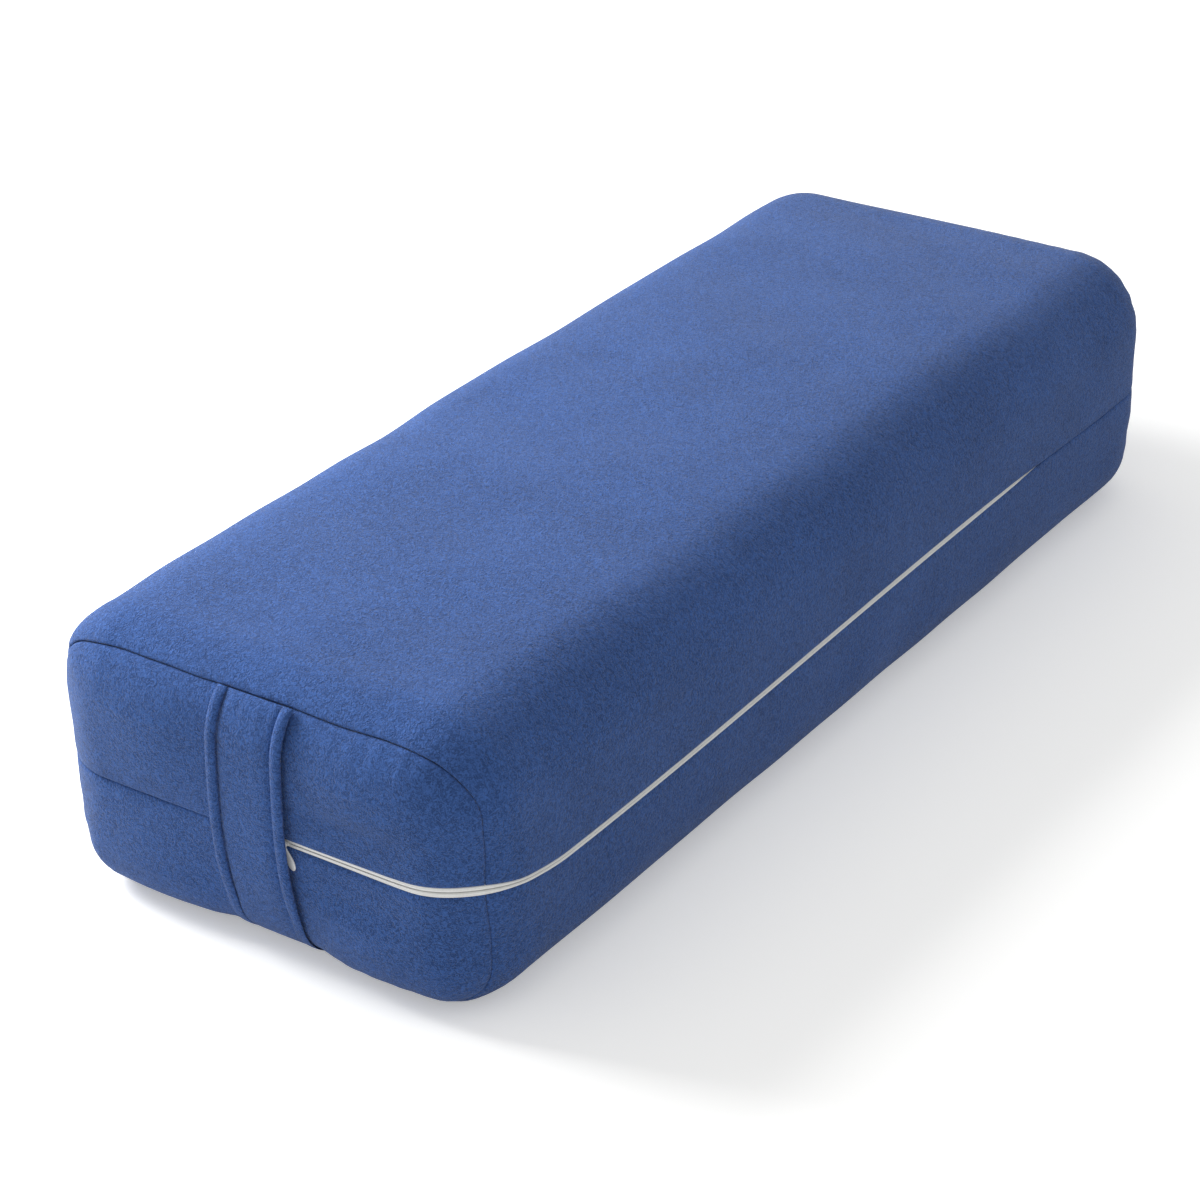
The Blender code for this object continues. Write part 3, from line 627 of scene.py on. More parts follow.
def cloth_lift(direction, outline, row, points, swell):
    """How far the cloth stands above the stuffed block at points of one row."""
    size = sizes()
    to_middle, to_end = seam_distances(outline, row, points)
    near_seam = np.minimum(to_middle, to_end)
    clear = 1.0 - np.exp(-near_seam / SEAM_HOLD_REACH)
    upper = 1.0 - LOWER_CALM * smooth_step(-outline.nz, *LOWER_CALM_FACING)
    lift = size.ripple * wave_sum(points, RIPPLE_WAVES) * clear * upper
    patches = PATCH_LEVEL + PATCH_CONTRAST * wave_sum(points, PATCH_WAVES)
    patches = np.clip(patches, 0.0, PATCH_MOST)
    belt = wave_sum(points, BELT_WAVES) * pucker_fade(to_middle)
    gathers = along_run(outline.run, RUN_WAVES) * pucker_fade(to_end)
    lift += size.pucker * patches * (BELT_PUCKER_SHARE * belt + gathers)
    lift -= SEAM_SINK * np.exp(-near_seam / SEAM_SINK_REACH)
    lift += overhang(row, outline, to_end) + corner_ear(outline, row, to_end)
    stuffing = swell(direction, outline, row)
    stuffing = np.where(stuffing < 0.0, HOLLOW_SHARE, 1.0) * stuffing * upper
    lift += (stuffing + end_pillow(row, points)) * clear
    lift = np.where(lift > 0.0, lift * (1.0 - tab_path(row, points)), lift)
    from_strap = np.abs(points[:, 0] - strap_middle(points[:, 2]))
    under_strap = 1.0 - smooth_step(from_strap, size.strap_width / 2, size.strap_width)
    lift -= STRAP_DENT * under_strap * dented(points)
    resting = smooth_step(-outline.nz, *RESTING_FACING) if row.kind in ("wrap", "straight") else 0.0
    return lift * (1.0 - resting)


def strap_middle(z):
    """The strap sits a little towards the zip, and more so lower down."""
    return STRAP_SHIFT + STRAP_LEAN * (1.0 - smooth_step(z, 0.0, STRAP_LEAN_HEIGHT))


def dented(points):
    """Share of the dent that the strap pulls into the lower edge of the near end."""
    low = 1.0 - smooth_step(points[:, 2], *STRAP_DENT_Z)
    return low * (1.0 - smooth_step(points[:, 1], *STRAP_DENT_Y))


def edge_depth(distance):
    """How far the cloth rolls in at a seam."""
    share = np.clip(1.0 - distance / SEAM_EDGE_WIDTH, 0.0, 1.0)
    return SEAM_EDGE_DEPTH * (1.0 - np.sqrt(1.0 - share * share))


def new_object(name, mesh_data, material):
    """Turns mesh data into a piece, with its doubles merged and its faces pointing outwards."""
    mesh = bpy.data.meshes.new(name)
    bmesh.ops.remove_doubles(mesh_data, verts=mesh_data.verts, dist=MERGE_DISTANCE)
    bmesh.ops.recalc_face_normals(mesh_data, faces=mesh_data.faces)
    mesh_data.to_mesh(mesh)
    mesh_data.free()
    mesh.materials.append(material)
    mesh.shade_smooth()
    piece = bpy.data.objects.new(name, mesh)
    bpy.context.scene.collection.objects.link(piece)
    return piece


def grid_place(vert, columns, rows):
    """Column and row of a vertex of a new grid."""
    return round((vert.co.x + 0.5) * columns), round((vert.co.y + 0.5) * rows)


def warped_slab(columns, rows, outer, inner):
    """A closed slab from a grid: the rows of points outer and inner become its two faces."""
    slab = bmesh.new()
    bmesh.ops.create_grid(slab, x_segments=columns, y_segments=rows, size=0.5)
    for vert in slab.verts:
        vert.co.x, vert.co.y = grid_place(vert, columns, rows)
    raised = bmesh.ops.extrude_face_region(slab, geom=slab.faces[:])
    for vert in [item for item in raised["geom"] if isinstance(item, bmesh.types.BMVert)]:
        vert.co.z = 1.0
    for vert in slab.verts:
        column, row, layer = (round(value) for value in vert.co)
        vert.co = (inner if layer else outer)[row][column]
    return slab


def cloth_panel(name, direction, rows, material, swell):
    """A panel of the cover: cloth laid over the block, its seam edges rolled in."""
    outline = half_outline(direction)
    thickness = sizes().cover_thickness
    outer = []
    inner = []
    for row in rows:
        flat = on_block(outline, row, 0.0)
        to_middle, to_end = seam_distances(outline, row, flat)
        lift = cloth_lift(direction, outline, row, flat, swell)
        edge = edge_depth(np.minimum(to_middle, to_end))
        shift = np.zeros_like(flat)
        shift[:, 2] = parting(flat, direction)
        outer.append(stuffed(on_block(outline, row, edge - lift) + shift))
        inner.append(stuffed(on_block(outline, row, thickness - lift) + shift))
    slab = warped_slab(len(outline.x) - 1, len(rows) - 1, outer, inner)
    piece = new_object(name, slab, material)
    dress(piece, "bolster", "cover_cloth", name)


def dress(piece, body, slot, *nodes):
    """Puts a finished piece on its body and in place of its CAD nodes."""
    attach(piece, body)
    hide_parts(*nodes)


def absorb(target, source):
    """Adds the faces of one mesh to another."""
    carrier = bpy.data.meshes.new("carrier")
    source.to_mesh(carrier)
    source.free()
    target.from_mesh(carrier)
    bpy.data.meshes.remove(carrier)


def row_place(row):
    """Where a row lies, from -4 at the middle of the near end to 4 at that of the far end."""
    if row.kind == "straight":
        return row.value
    return row.side * (1.0 + ("wrap", "panel", "cap").index(row.kind) + row.value)


def spline_sample(values, place):
    """Values between those of an evenly spaced list, by a cubic B-spline."""
    base = np.floor(place).astype(int)
    share = place - base
    rest = 1.0 - share
    weights = (
        rest ** 3, 3.0 * share ** 3 - 6.0 * share ** 2 + 4.0,
        3.0 * rest ** 3 - 6.0 * rest ** 2 + 4.0, share ** 3,
    )
    total = 0.0
    for step, weight in enumerate(weights):
        total = total + weight / 6.0 * values[np.clip(base + step - 1, 0, len(values) - 1)]
    return total


def blurred(grid):
    """The grid of heights with its short waves taken out."""
    for _ in range(SIM_BLURS):
        grid[1:-1] = (grid[:-2] + 2.0 * grid[1:-1] + grid[2:]) / 4.0
        grid[:, 1:-1] = (grid[:, :-2] + 2.0 * grid[:, 1:-1] + grid[:, 2:]) / 4.0
    return grid


def inflated(mesh_data, pinned):
    """Places of the mesh's vertices after the bag is blown up with its seams pinned."""
    mesh = bpy.data.meshes.new("stuffed_skin")
    mesh_data.to_mesh(mesh)
    mesh_data.free()
    bag = bpy.data.objects.new("stuffed_skin", mesh)
    bpy.context.scene.collection.objects.link(bag)
    group = bag.vertex_groups.new(name="seams")
    group.add(pinned, 1.0, "REPLACE")
    cloth = bag.modifiers.new("stuffing", "CLOTH")
    for name, value in SIM_SETTINGS.items():
        setattr(cloth.settings, name, value)
    cloth.settings.effector_weights.gravity = 0.0
    cloth.collision_settings.use_collision = False
    scene = bpy.context.scene
    for number in range(1, SIM_FRAMES + 1):
        scene.frame_set(number)
    result = bag.evaluated_get(bpy.context.evaluated_depsgraph_get()).data
    moved = np.empty(len(mesh.vertices) * 3)
    result.vertices.foreach_get("co", moved)
    scene.frame_set(1)
    bpy.data.objects.remove(bag, do_unlink=True)
    return moved.reshape(-1, 3)


def simulated_swell():
    """Swell of the cloth between its seams. A bag a little smaller than the block is blown up
    with its seams pinned. How far it then stands off the block, more or less than its middle
    value, is blurred into a smooth height for every panel."""
    size = sizes()
    rows = tray_rows(SIM_STEP)
    outlines = {direction: half_outline(direction, SIM_STEP, SIM_STEP) for direction in (UP, DOWN)}
    skin = bmesh.new()
    faces = {}
    starts = {}
    distances = {}
    for direction, outline in outlines.items():
        faces[direction] = np.array([on_block(outline, row, 0.0) for row in rows])
        distances[direction] = np.array([
            np.minimum(*seam_distances(outline, row, flat))
            for row, flat in zip(rows, faces[direction])
        ])
        sunk = SIM_SINK * (1.0 - np.exp(-distances[direction] / SIM_SINK_REACH))
        starts[direction] = np.array([
            on_block(outline, row, depth) for row, depth in zip(rows, sunk)
        ])
        absorb(skin, warped_sheet(len(outline.x) - 1, len(rows) - 1, starts[direction]))
    bmesh.ops.remove_doubles(skin, verts=skin.verts, dist=SIM_MERGE_DISTANCE)
    bmesh.ops.recalc_face_normals(skin, faces=skin.faces)
    finder = kdtree.KDTree(len(skin.verts))
    for number, vert in enumerate(skin.verts):
        finder.insert(vert.co, number)
    finder.balance()
    owners = {}
    for direction, start in starts.items():
        found = [finder.find(point)[1] for point in start.reshape(-1, 3)]
        owners[direction] = np.array(found).reshape(start.shape[:2])
    pinned = np.concatenate([
        owners[half][distances[half] < SIM_PINNED_REACH] for half in (UP, DOWN)
    ])
    moved = inflated(skin, [int(number) for number in np.unique(pinned)])
    rises = {}
    for direction, outline in outlines.items():
        inside = np.array([on_block(outline, row, PROBE_DEPTH) for row in rows])
        outwards = (faces[direction] - inside) / PROBE_DEPTH
        rises[direction] = ((moved[owners[direction]] - faces[direction]) * outwards).sum(axis=-1)
    middle = np.median(np.concatenate([
        rises[half][distances[half] > SIM_FREE_REACH] for half in (UP, DOWN)
    ]))
    fields = {}
    for direction, rise in rises.items():
        fields[direction] = blurred(size.swell * np.tanh((rise - middle) / size.swell))
    places = np.array([row_place(row) for row in rows])

    def swell(direction, outline, row):
        coarse = outlines[direction].run
        number = np.interp(row_place(row), places, np.arange(len(places)))
        line = spline_sample(fields[direction], number)
        share = outline.run / outline.run[-1]
        across = np.interp(share, coarse / coarse[-1], np.arange(len(coarse)))
        return spline_sample(line, across)

    return swell


def warped_sheet(columns, rows, points):
    """An open sheet from a grid of points."""
    sheet = bmesh.new()
    bmesh.ops.create_grid(sheet, x_segments=columns, y_segments=rows, size=0.5)
    for vert in sheet.verts:
        column, row = grid_place(vert, columns, rows)
        vert.co = points[row][column]
    return sheet


def closed_sweep(rings, looped=False, routed=False):
    """A skin over rings of points. Looped, it ends where it starts; otherwise it is capped.
    Routed, it has UVs in metres round the ring and along the route."""
    rings = np.asarray(rings)
    count = rings.shape[1]
    rows = len(rings) if looped else len(rings) - 1
    skin = bmesh.new()
    layer = skin.loops.layers.uv.new("route") if routed else None
    bmesh.ops.create_grid(skin, x_segments=count, y_segments=rows, size=0.5)
    if routed:
        along = run_length(rings.mean(axis=1))
        around = run_length(np.concatenate([rings[0], rings[0][:1]]))
        for face in skin.faces:
            for loop in face.loops:
                column, row = grid_place(loop.vert, count, rows)
                loop[layer].uv = (around[column], along[row])
    for vert in skin.verts:
        column, row = grid_place(vert, count, rows)
        vert.co = rings[row % len(rings)][column % count]
    bmesh.ops.remove_doubles(skin, verts=skin.verts, dist=MERGE_DISTANCE)
    open_edges = [edge for edge in skin.edges if edge.is_boundary]
    if open_edges:
        bmesh.ops.holes_fill(skin, edges=open_edges, sides=count)
    return skin


def swept(name, rings, material):
    """A closed piece from rings of points, one for each place on its route."""
    piece = new_object(name, closed_sweep(rings, routed=True), material)
    piece.data.set_sharp_from_angle(angle=SHARP_ANGLE)
    return piece


def strap_route(steps):
    """Places down the middle of the near end, from its top seam to its base seam, with the
    direction off the end there, the distance to the nearer end of the strap and that to its
    lower end."""
    places = []
    offs = []
    for nz in (1.0, -1.0):
        outline = make_outline([0.0], [HEIGHT if nz > 0.0 else 0.0], [0.0], [nz])
        values = np.linspace(0.0, 1.0, steps)
        rows = [Row("panel", NEAR, value) for value in (values if nz > 0.0 else values[::-1])]
        here = np.concatenate([on_block(outline, row, 0.0) for row in rows])
        off = np.concatenate([on_block(outline, row, -PROBE_DEPTH) for row in rows])
        places.append(here)
        offs.append(off)
    heights = np.linspace(places[0][-1][2], places[1][0][2], steps * 2)[1:-1]
    middle = np.stack([np.zeros_like(heights), np.full_like(heights, -LENGTH / 2), heights], -1)
    places.insert(1, middle)
    offs.insert(1, middle - np.array([0.0, PROBE_DEPTH, 0.0]))
    block = np.concatenate(places)
    outwards = np.concatenate(offs) - block
    outwards /= np.linalg.norm(outwards, axis=1, keepdims=True)
    here = stuffed(block)
    run = run_length(here)
    to_base = run[-1] - run
    to_end = np.minimum(run, to_base)
    share = np.clip(here[:, 2] / HEIGHT, 0.0, 1.0)
    lift = CLEARANCE + sizes().strap_stand_off * np.sin(math.pi * share) ** STRAP_ARCH_POWER
    lift -= STRAP_DENT * dented(block)
    return here + outwards * lift[:, None], outwards, to_end, to_base


def belt_stops(start_x, end_y, step):
    """Stops on the middle seam from the near end round the corner and up the +X side: places
    on the flat end, then rows of the block."""
    corner_x = WIDTH / 2 - END_RADIUS_SIDE
    count = round((corner_x - start_x) / step)
    stops = [float(x) for x in np.linspace(start_x, corner_x, count, endpoint=False)]
    for kind, angle in (("panel", math.pi / 2 - SEAM_ANGLE_SIDE), ("wrap", SEAM_ANGLE_SIDE)):
        count = round(END_RADIUS_SIDE * angle / step)
        stops += [Row(kind, NEAR, value) for value in np.linspace(1.0, 0.0, count, endpoint=False)]
    reach = LENGTH / 2 - END_RADIUS_SIDE
    values = np.linspace(-1.0, end_y / reach, round((end_y + reach) / step))
    return stops + [Row("straight", FAR, value) for value in values]


def on_belt(stop, section):
    """Points of the block, before it is stuffed, at a stop on the middle seam. The section is
    pairs of height over the seam and depth."""
    section = np.asarray(section, float)
    if isinstance(stop, float):
        points = np.stack([np.full(len(section), stop), section[:, 1] - LENGTH / 2], -1)
    else:
        wall = make_outline([WIDTH / 2], [MID_SEAM_HEIGHT], [1.0], [0.0])
        points = np.concatenate([on_block(wall, stop, depth)[:, :2] for depth in section[:, 1]])
    return np.concatenate([points, MID_SEAM_HEIGHT + section[:, :1]], axis=1)


def round_wire(places, binormals, radius, sides):
    """Rings of points round a wire that runs through the places."""
    ahead = np.gradient(places, axis=0)
    ahead /= np.linalg.norm(ahead, axis=1, keepdims=True)
    first = np.cross(ahead, binormals)
    first /= np.linalg.norm(first, axis=1, keepdims=True)
    second = np.cross(ahead, first)
    angles = math.tau * np.arange(sides) / sides
    cosines, sines = (values[None, :, None] for values in (np.cos(angles), np.sin(angles)))
    return places[:, None] + radius * (cosines * first[:, None] + sines * second[:, None])


def tape_rings(direction):
    """Sections of one tape. Its folded edge stands up in the opening past the slider's run, as
    high and as wide as the cloth leaves room for."""
    rings = []
    fold_end = SLOT + TAPE_FOLD
    for stop in belt_stops(ZIP_START_X, ZIP_END_Y, TAPE_STEP):
        centre = on_belt(stop, [(0.0, 0.0)])[0]
        half = float(zip_opening(centre[0], centre[1])) / 2
        proud = float(smooth_step(centre[0], ZIP_RUN_END_X + TAPE_FOLD_SETBACK, ZIP_CREST_X))
        room = float(smooth_step(half, TAPE_FOLD_FREE, TAPE_FOLD_HALF_OPENING))
        height = (TAPE_DEPTH - TAPE_CREST_DEPTH) * proud * room
        crest_end = max(half - TAPE_FOLD_FREE, fold_end)
        outer = [(SLOT, -TAPE_SUNK_EDGE)]
        for share in (0.15, 0.5, 0.85, 1.0):
            outer.append((SLOT + TAPE_FOLD * share, height * math.sqrt(share * (2.0 - share))))
        for share in (0.5, 1.0):
            outer.append((blend(fold_end, crest_end, share), height))
        for share in (0.25, 0.5, 0.75, 1.0):
            fall = height * 0.5 * (1.0 + math.cos(math.pi * share))
            outer.append((crest_end + TAPE_FOLD_END * share, fall))
        outer.append((TAPE_WIDTH, 0.0))
        inner = [(TAPE_WIDTH, -TAPE_THICKNESS), (SLOT, -TAPE_THICKNESS)]
        section = [(direction * across, TAPE_DEPTH - up) for across, up in outer + inner]
        rings.append(stuffed(on_belt(stop, section)))
    return rings


def coil_rings(direction):
    """Sections of the nylon wire of one coil half, wound to and fro behind its tape."""
    stops = belt_stops(ZIP_START_X, ZIP_END_Y, COIL_PITCH / COIL_TURN_STEPS)
    reach = (COIL_WIDTH - COIL_WIRE) / 2
    rise = (COIL_THICKNESS - COIL_WIRE) / 2
    middle = COIL_DEPTH + COIL_THICKNESS / 2
    places = []
    spine = []
    for number, stop in enumerate(stops):
        angle = math.tau * number / COIL_TURN_STEPS + (0.0 if direction == UP else math.pi)
        across = direction * (COIL_INNER + COIL_WIDTH / 2 + reach * math.cos(angle))
        pair = stuffed(on_belt(stop, [(across, middle + rise * math.sin(angle)), (0.0, middle)]))
        places.append(pair[0])
        spine.append(pair[1])
    binormals = np.gradient(np.array(spine), axis=0)
    return round_wire(np.array(places), binormals, COIL_WIRE / 2, COIL_SIDES)


def on_zip(x, depth):
    """A place on the zip's straight run, at a depth below the face of the end panel."""
    return stuffed(np.array([[x, depth - LENGTH / 2, MID_SEAM_HEIGHT]]))[0]


def rounded_box(low, high, bevel):
    """A box between two corners, with all its edges rounded."""
    box = bmesh.new()
    bmesh.ops.create_cube(box, size=1.0)
    low = Vector(low)
    high = Vector(high)
    bmesh.ops.scale(box, vec=high - low, verts=box.verts)
    bmesh.ops.translate(box, vec=(low + high) / 2, verts=box.verts)
    bmesh.ops.bevel(
        box, geom=box.edges[:], offset=bevel, offset_type="OFFSET", segments=BEVEL_SEGMENTS,
        profile=0.5, affect="EDGES", clamp_overlap=True, material=-1,
    )
    return box


def slider_plate(width, top, base, narrowing, bevel):
    """A plate of the slider with a rounded outline, widest at the nose, where the coils part,
    and narrower towards the tail."""
    plate = bmesh.new()
    outline = []
    for step in range(PLATE_SIDES):
        angle = math.tau * step / PLATE_SIDES
        across = math.copysign(abs(math.sin(angle)) ** PLATE_SIDE_POWER, math.sin(angle))
        along = math.copysign(abs(math.cos(angle)) ** PLATE_END_POWER, math.cos(angle))
        narrow = 1.0 - narrowing * (0.5 + 0.5 * along)
        place = (SLIDER_LENGTH / 2 * along, base, width / 2 * across * narrow)
        outline.append(plate.verts.new(place))
    face = plate.faces.new(outline)
    raised = bmesh.ops.extrude_face_region(plate, geom=[face])
    lifted = [item for item in raised["geom"] if isinstance(item, bmesh.types.BMVert)]
    bmesh.ops.translate(plate, verts=lifted, vec=(0.0, top - base, 0.0))
    rims = [edge for edge in plate.edges if abs(edge.verts[0].co.y - edge.verts[1].co.y) < 1e-7]
    bmesh.ops.bevel(
        plate, geom=rims, offset=bevel, offset_type="OFFSET", segments=BEVEL_SEGMENTS,
        profile=0.5, affect="EDGES", clamp_overlap=True, material=-1,
    )
    return plate


def bail_mesh(foot, crown):
    """The wire bridge over the slider that the pull tab hangs on."""
    half = BAIL_SPAN / 2
    route = [(-half, foot), (-half, blend(foot, crown + BAIL_BEND, 0.5))]
    for step in range(7):
        angle = math.radians(15.0) * step
        inwards = BAIL_BEND * (1.0 - math.cos(angle))
        route.append((-half + inwards, crown + BAIL_BEND * (1.0 - math.sin(angle))))
    route += [(-x, y) for x, y in reversed(route)]
    places = np.array([(x, y, 0.0) for x, y in route])
    upright = np.tile([0.0, 0.0, 1.0], (len(places), 1))
    return closed_sweep(round_wire(places, upright, BAIL_WIRE / 2, BAIL_SIDES))


def slider_mesh():
    """The slider at rest: a narrow outer plate with the bail, a wider plate behind the coils,
    and the web between them that parts the coils."""
    outer_base = TAPE_DEPTH - CLEARANCE
    outer_top = outer_base - SLIDER_PLATE
    inner_top = COIL_DEPTH + COIL_THICKNESS + CLEARANCE
    half = SLIDER_LENGTH / 2
    slider = slider_plate(
        SLIDER_OUTER_WIDTH, outer_top, outer_base, narrowing=0.25, bevel=0.00025,
    )
    absorb(slider, slider_plate(
        SLIDER_WIDTH, inner_top, inner_top + SLIDER_PLATE, narrowing=0.15, bevel=0.0002,
    ))
    overlap = SLIDER_PLATE / 2
    low = (SLIDER_WEB_SETBACK - half, outer_base - overlap, -SLIDER_WEB / 2)
    high = (SLIDER_WEB_LENGTH - half, inner_top + overlap, SLIDER_WEB / 2)
    absorb(slider, rounded_box(low, high, SLIDER_WEB_BEVEL))
    crown = -CLEARANCE - PULL_THICKNESS - CLEARANCE - BAIL_WIRE / 2
    absorb(slider, bail_mesh(outer_top + overlap, crown))
    bmesh.ops.translate(slider, verts=slider.verts, vec=Vector(on_zip(SLIDER_REST_X, 0.0)))
    return slider


def pull_mesh():
    """The drop-shaped pull tab at rest, its eye round the rear leg of the bail. Its rim is
    rounded and its belly a little full."""
    size = sizes()
    neck = PULL_NECK_WIDTH / 2
    belly = size.pull_width / 2
    neck_angle = math.asin(neck / PULL_RING_RADIUS)
    start = PULL_RING_RADIUS * math.cos(neck_angle)
    outline = []
    for share in np.linspace(0.0, 1.0, 20, endpoint=False):
        width = blend(neck, belly, smooth_step(share, 0.0, 1.0))
        outline.append((width, -blend(start, PULL_BELLY, share)))
    for angle in np.linspace(0.0, math.pi / 2, 12):
        drop = (size.pull_length - PULL_BELLY) * math.sin(angle)
        outline.append((belly * math.cos(angle), -PULL_BELLY - drop))
    outline += [(-x, z) for x, z in reversed(outline[:-1])]
    for angle in np.linspace(neck_angle, math.tau - neck_angle, 26)[1:-1]:
        outline.append((-PULL_RING_RADIUS * math.sin(angle), -PULL_RING_RADIUS * math.cos(angle)))
    eye = BAIL_WIRE / 2 + CLEARANCE * 0.5
    half = PULL_THICKNESS / 2
    rings = []
    for x, z in outline:
        reach = math.hypot(x, z)
        rim = PULL_RIM / (reach - eye)
        # Pairs of a share of the way from the eye to the rim and one of half the thickness
        profile = [(0.0, 0.35), (0.0, -0.35), (0.6 * rim, -1.0)]
        for share in (0.25, 0.5, 0.75):
            belly_share = math.sin(math.pi * share) * min(reach / PULL_BELLY, 1.0)
            fullness = 1.0 + PULL_FULLNESS * belly_share
            profile.append((blend(0.25 * rim, 1.0 - rim, share), -fullness))
        profile += [(1.0 - rim, -1.0), (1.0 - 0.3 * rim, -0.7), (1.0, 0.0), (1.0 - 0.3 * rim, 0.7)]
        profile += [(1.0 - rim, 1.0), (0.6 * rim, 1.0)]
        rings.append([
            (x * blend(eye, reach, share) / reach, half * off, z * blend(eye, reach, share) / reach)
            for share, off in profile
        ])
    tab = closed_sweep(rings, looped=True)
    hinge = Vector(on_zip(SLIDER_REST_X + BAIL_SPAN / 2, -CLEARANCE - half))
    turn = Matrix.Rotation(-PULL_LEAN, 4, "Y")
    bmesh.ops.transform(tab, matrix=Matrix.Translation(hinge) @ turn, verts=tab.verts)
    return tab


def add_node(tree, kind, inputs=None, **settings):
    """Adds a node with its settings; an input is given a value or another node's output."""
    node = tree.nodes.new(kind)
    for name, value in settings.items():
        setattr(node, name, value)
    for key, value in (inputs or {}).items():
        if isinstance(value, bpy.types.NodeSocket):
            tree.links.new(value, node.inputs[key])
        else:
            node.inputs[key].default_value = value
    return node


def new_material(name):
    material = bpy.data.materials.new(name)
    material.use_nodes = True
    material.node_tree.nodes.clear()
    return material, material.node_tree


def finish_material(tree, shader):
    add_node(tree, "ShaderNodeOutputMaterial", {"Surface": shader.outputs[0]})


def finish_surface(tree, share, colour, shade, height, strength, depth, shader_inputs):
    """The rest of a plain material: its colour, darkened where the share goes from 1 to 0, a
    bump by the height, and the shader."""
    dark = tuple(channel * shade for channel in colour[:3]) + (1.0,)
    mixed = add_node(tree, "ShaderNodeMix", {
        0: share, 6: dark, 7: tuple(colour),
    }, data_type="RGBA")
    bump = add_node(tree, "ShaderNodeBump", {
        "Height": height, "Strength": strength, "Distance": depth,
    })
    shader = add_node(tree, "ShaderNodeBsdfPrincipled", {
        "Base Color": mixed.outputs[2], "Normal": bump.outputs[0], **shader_inputs,
    })
    finish_material(tree, shader)


def object_place(tree):
    return add_node(tree, "ShaderNodeTexCoord").outputs["Object"]


def seen_share(tree):
    """1 for the rays that show a surface to the camera, straight, in gloss or through glass."""
    rays = add_node(tree, "ShaderNodeLightPath")
    seen = add_node(tree, "ShaderNodeMath", {
        0: rays.outputs["Is Camera Ray"], 1: rays.outputs["Is Glossy Ray"],
    }, operation="MAXIMUM")
    shown = add_node(tree, "ShaderNodeMath", {
        0: seen.outputs[0], 1: rays.outputs["Is Transmission Ray"],
    }, operation="MAXIMUM")
    return shown.outputs[0]


def microsuede():
    """Microsuede: a knit of polyester microfibre, dyed blue and brushed to a short nap. The nap
    clumps into fine worm-like grain, takes brush marks, and catches light at a low angle. Its
    single fibres are too fine to show, so the grain is drawn as clumps a millimetre across.
    Their colour is painted lighter where the bump stands high and darker where it sinks: painted
    highlight and painted shade of the grain, over the nap's own tone and brush marks."""
    grain = sizes().nap_grain
    material, tree = new_material("blue_microsuede")
    place = object_place(tree)
    nap = add_node(tree, "ShaderNodeTexNoise", {
        "Vector": place, "Scale": 0.9 / grain, "Detail": 1.0, "Roughness": 0.5, "Distortion": 1.4,
    })
    clumps = add_node(tree, "ShaderNodeTexNoise", {
        "Vector": place, "Scale": 0.2 / grain, "Detail": 3.0, "Roughness": 0.6,
    })
    brushed = add_node(tree, "ShaderNodeTexNoise", {
        "Vector": place, "Scale": 1.0 / BRUSH_MARK, "Detail": 4.0, "Roughness": 0.6,
        "Distortion": 0.4,
    })
    # Nap and clumps are lighter where their bump is high: painted highlight and shade over the
    # nap's tone
    nap_tone_and_shade = add_node(tree, "ShaderNodeMapRange", {
        "Value": nap.outputs["Fac"], "From Min": 0.38, "From Max": 0.62,
    })
    clump_tone_and_shade = add_node(tree, "ShaderNodeMath", {
        0: clumps.outputs["Fac"], 1: 0.24, 2: -0.12,
    }, operation="MULTIPLY_ADD")
    brush_tone = add_node(tree, "ShaderNodeMath", {
        0: brushed.outputs["Fac"], 1: 0.40, 2: 0.05,
    }, operation="MULTIPLY_ADD")
    broad = add_node(tree, "ShaderNodeMath", {
        0: clump_tone_and_shade.outputs[0], 1: brush_tone.outputs[0],
    }, operation="ADD")
    share = add_node(tree, "ShaderNodeMath", {
        0: nap_tone_and_shade.outputs[0], 1: 0.5, 2: broad.outputs[0],
    }, operation="MULTIPLY_ADD", use_clamp=True)
    colour = add_node(tree, "ShaderNodeMix", {
        0: share.outputs[0], 6: colours().cloth_dark_and_shade, 7: colours().cloth_light_and_highlight,
    }, data_type="RGBA")
    coarse = add_node(tree, "ShaderNodeBump", {
        "Height": clumps.outputs["Fac"], "Strength": 0.4, "Distance": 0.0008,
    })
    bump = add_node(tree, "ShaderNodeBump", {
        "Height": nap.outputs["Fac"], "Strength": 1.0, "Distance": 0.0010,
        "Normal": coarse.outputs[0],
    })
    shader = add_node(tree, "ShaderNodeBsdfPrincipled", {
        "Base Color": colour.outputs[2], "Roughness": 0.9, "Normal": bump.outputs[0],
        "Specular IOR Level": 0.2, "IOR": 1.45, "Sheen Weight": 0.18, "Sheen Roughness": 0.35,
        "Sheen Tint": linear_colour("F8F4E0"),
    })
    finish_material(tree, shader)
    return material


def woven(name, colour, pitch, depth, roughness, coordinates="UV"):
    """Plain-woven cloth or tape: threads over and under each other, one pitch apart."""
    material, tree = new_material(name)
    place = add_node(tree, "ShaderNodeTexCoord").outputs[coordinates]
    warp, weft = (
        add_node(tree, "ShaderNodeTexWave", {
            "Vector": place, "Scale": 1.0 / (pitch * BANDS_PER_METRE), "Distortion": 0.4,
            "Detail Scale": 2.0,
        }, bands_direction=way)
        for way in ("X", "Y")
    )
    threads = add_node(tree, "ShaderNodeMath", {
        0: warp.outputs["Fac"], 1: weft.outputs["Fac"],
    }, operation="MAXIMUM")
    fuzz = add_node(tree, "ShaderNodeTexNoise", {
        "Vector": place, "Scale": 0.2 / pitch, "Detail": 3.0,
    })
    tone = add_node(tree, "ShaderNodeMath", {
        0: fuzz.outputs["Fac"], 1: 0.5, 2: threads.outputs[0],
    }, operation="MULTIPLY_ADD")
    share = add_node(tree, "ShaderNodeMapRange", {"Value": tone.outputs[0], "From Max": 1.3})
    finish_surface(tree, share.outputs[0], colour, 0.72, threads.outputs[0], 0.6, depth, {
        "Roughness": roughness, "Specular IOR Level": 0.3, "Sheen Weight": 0.1,
    })
    return material


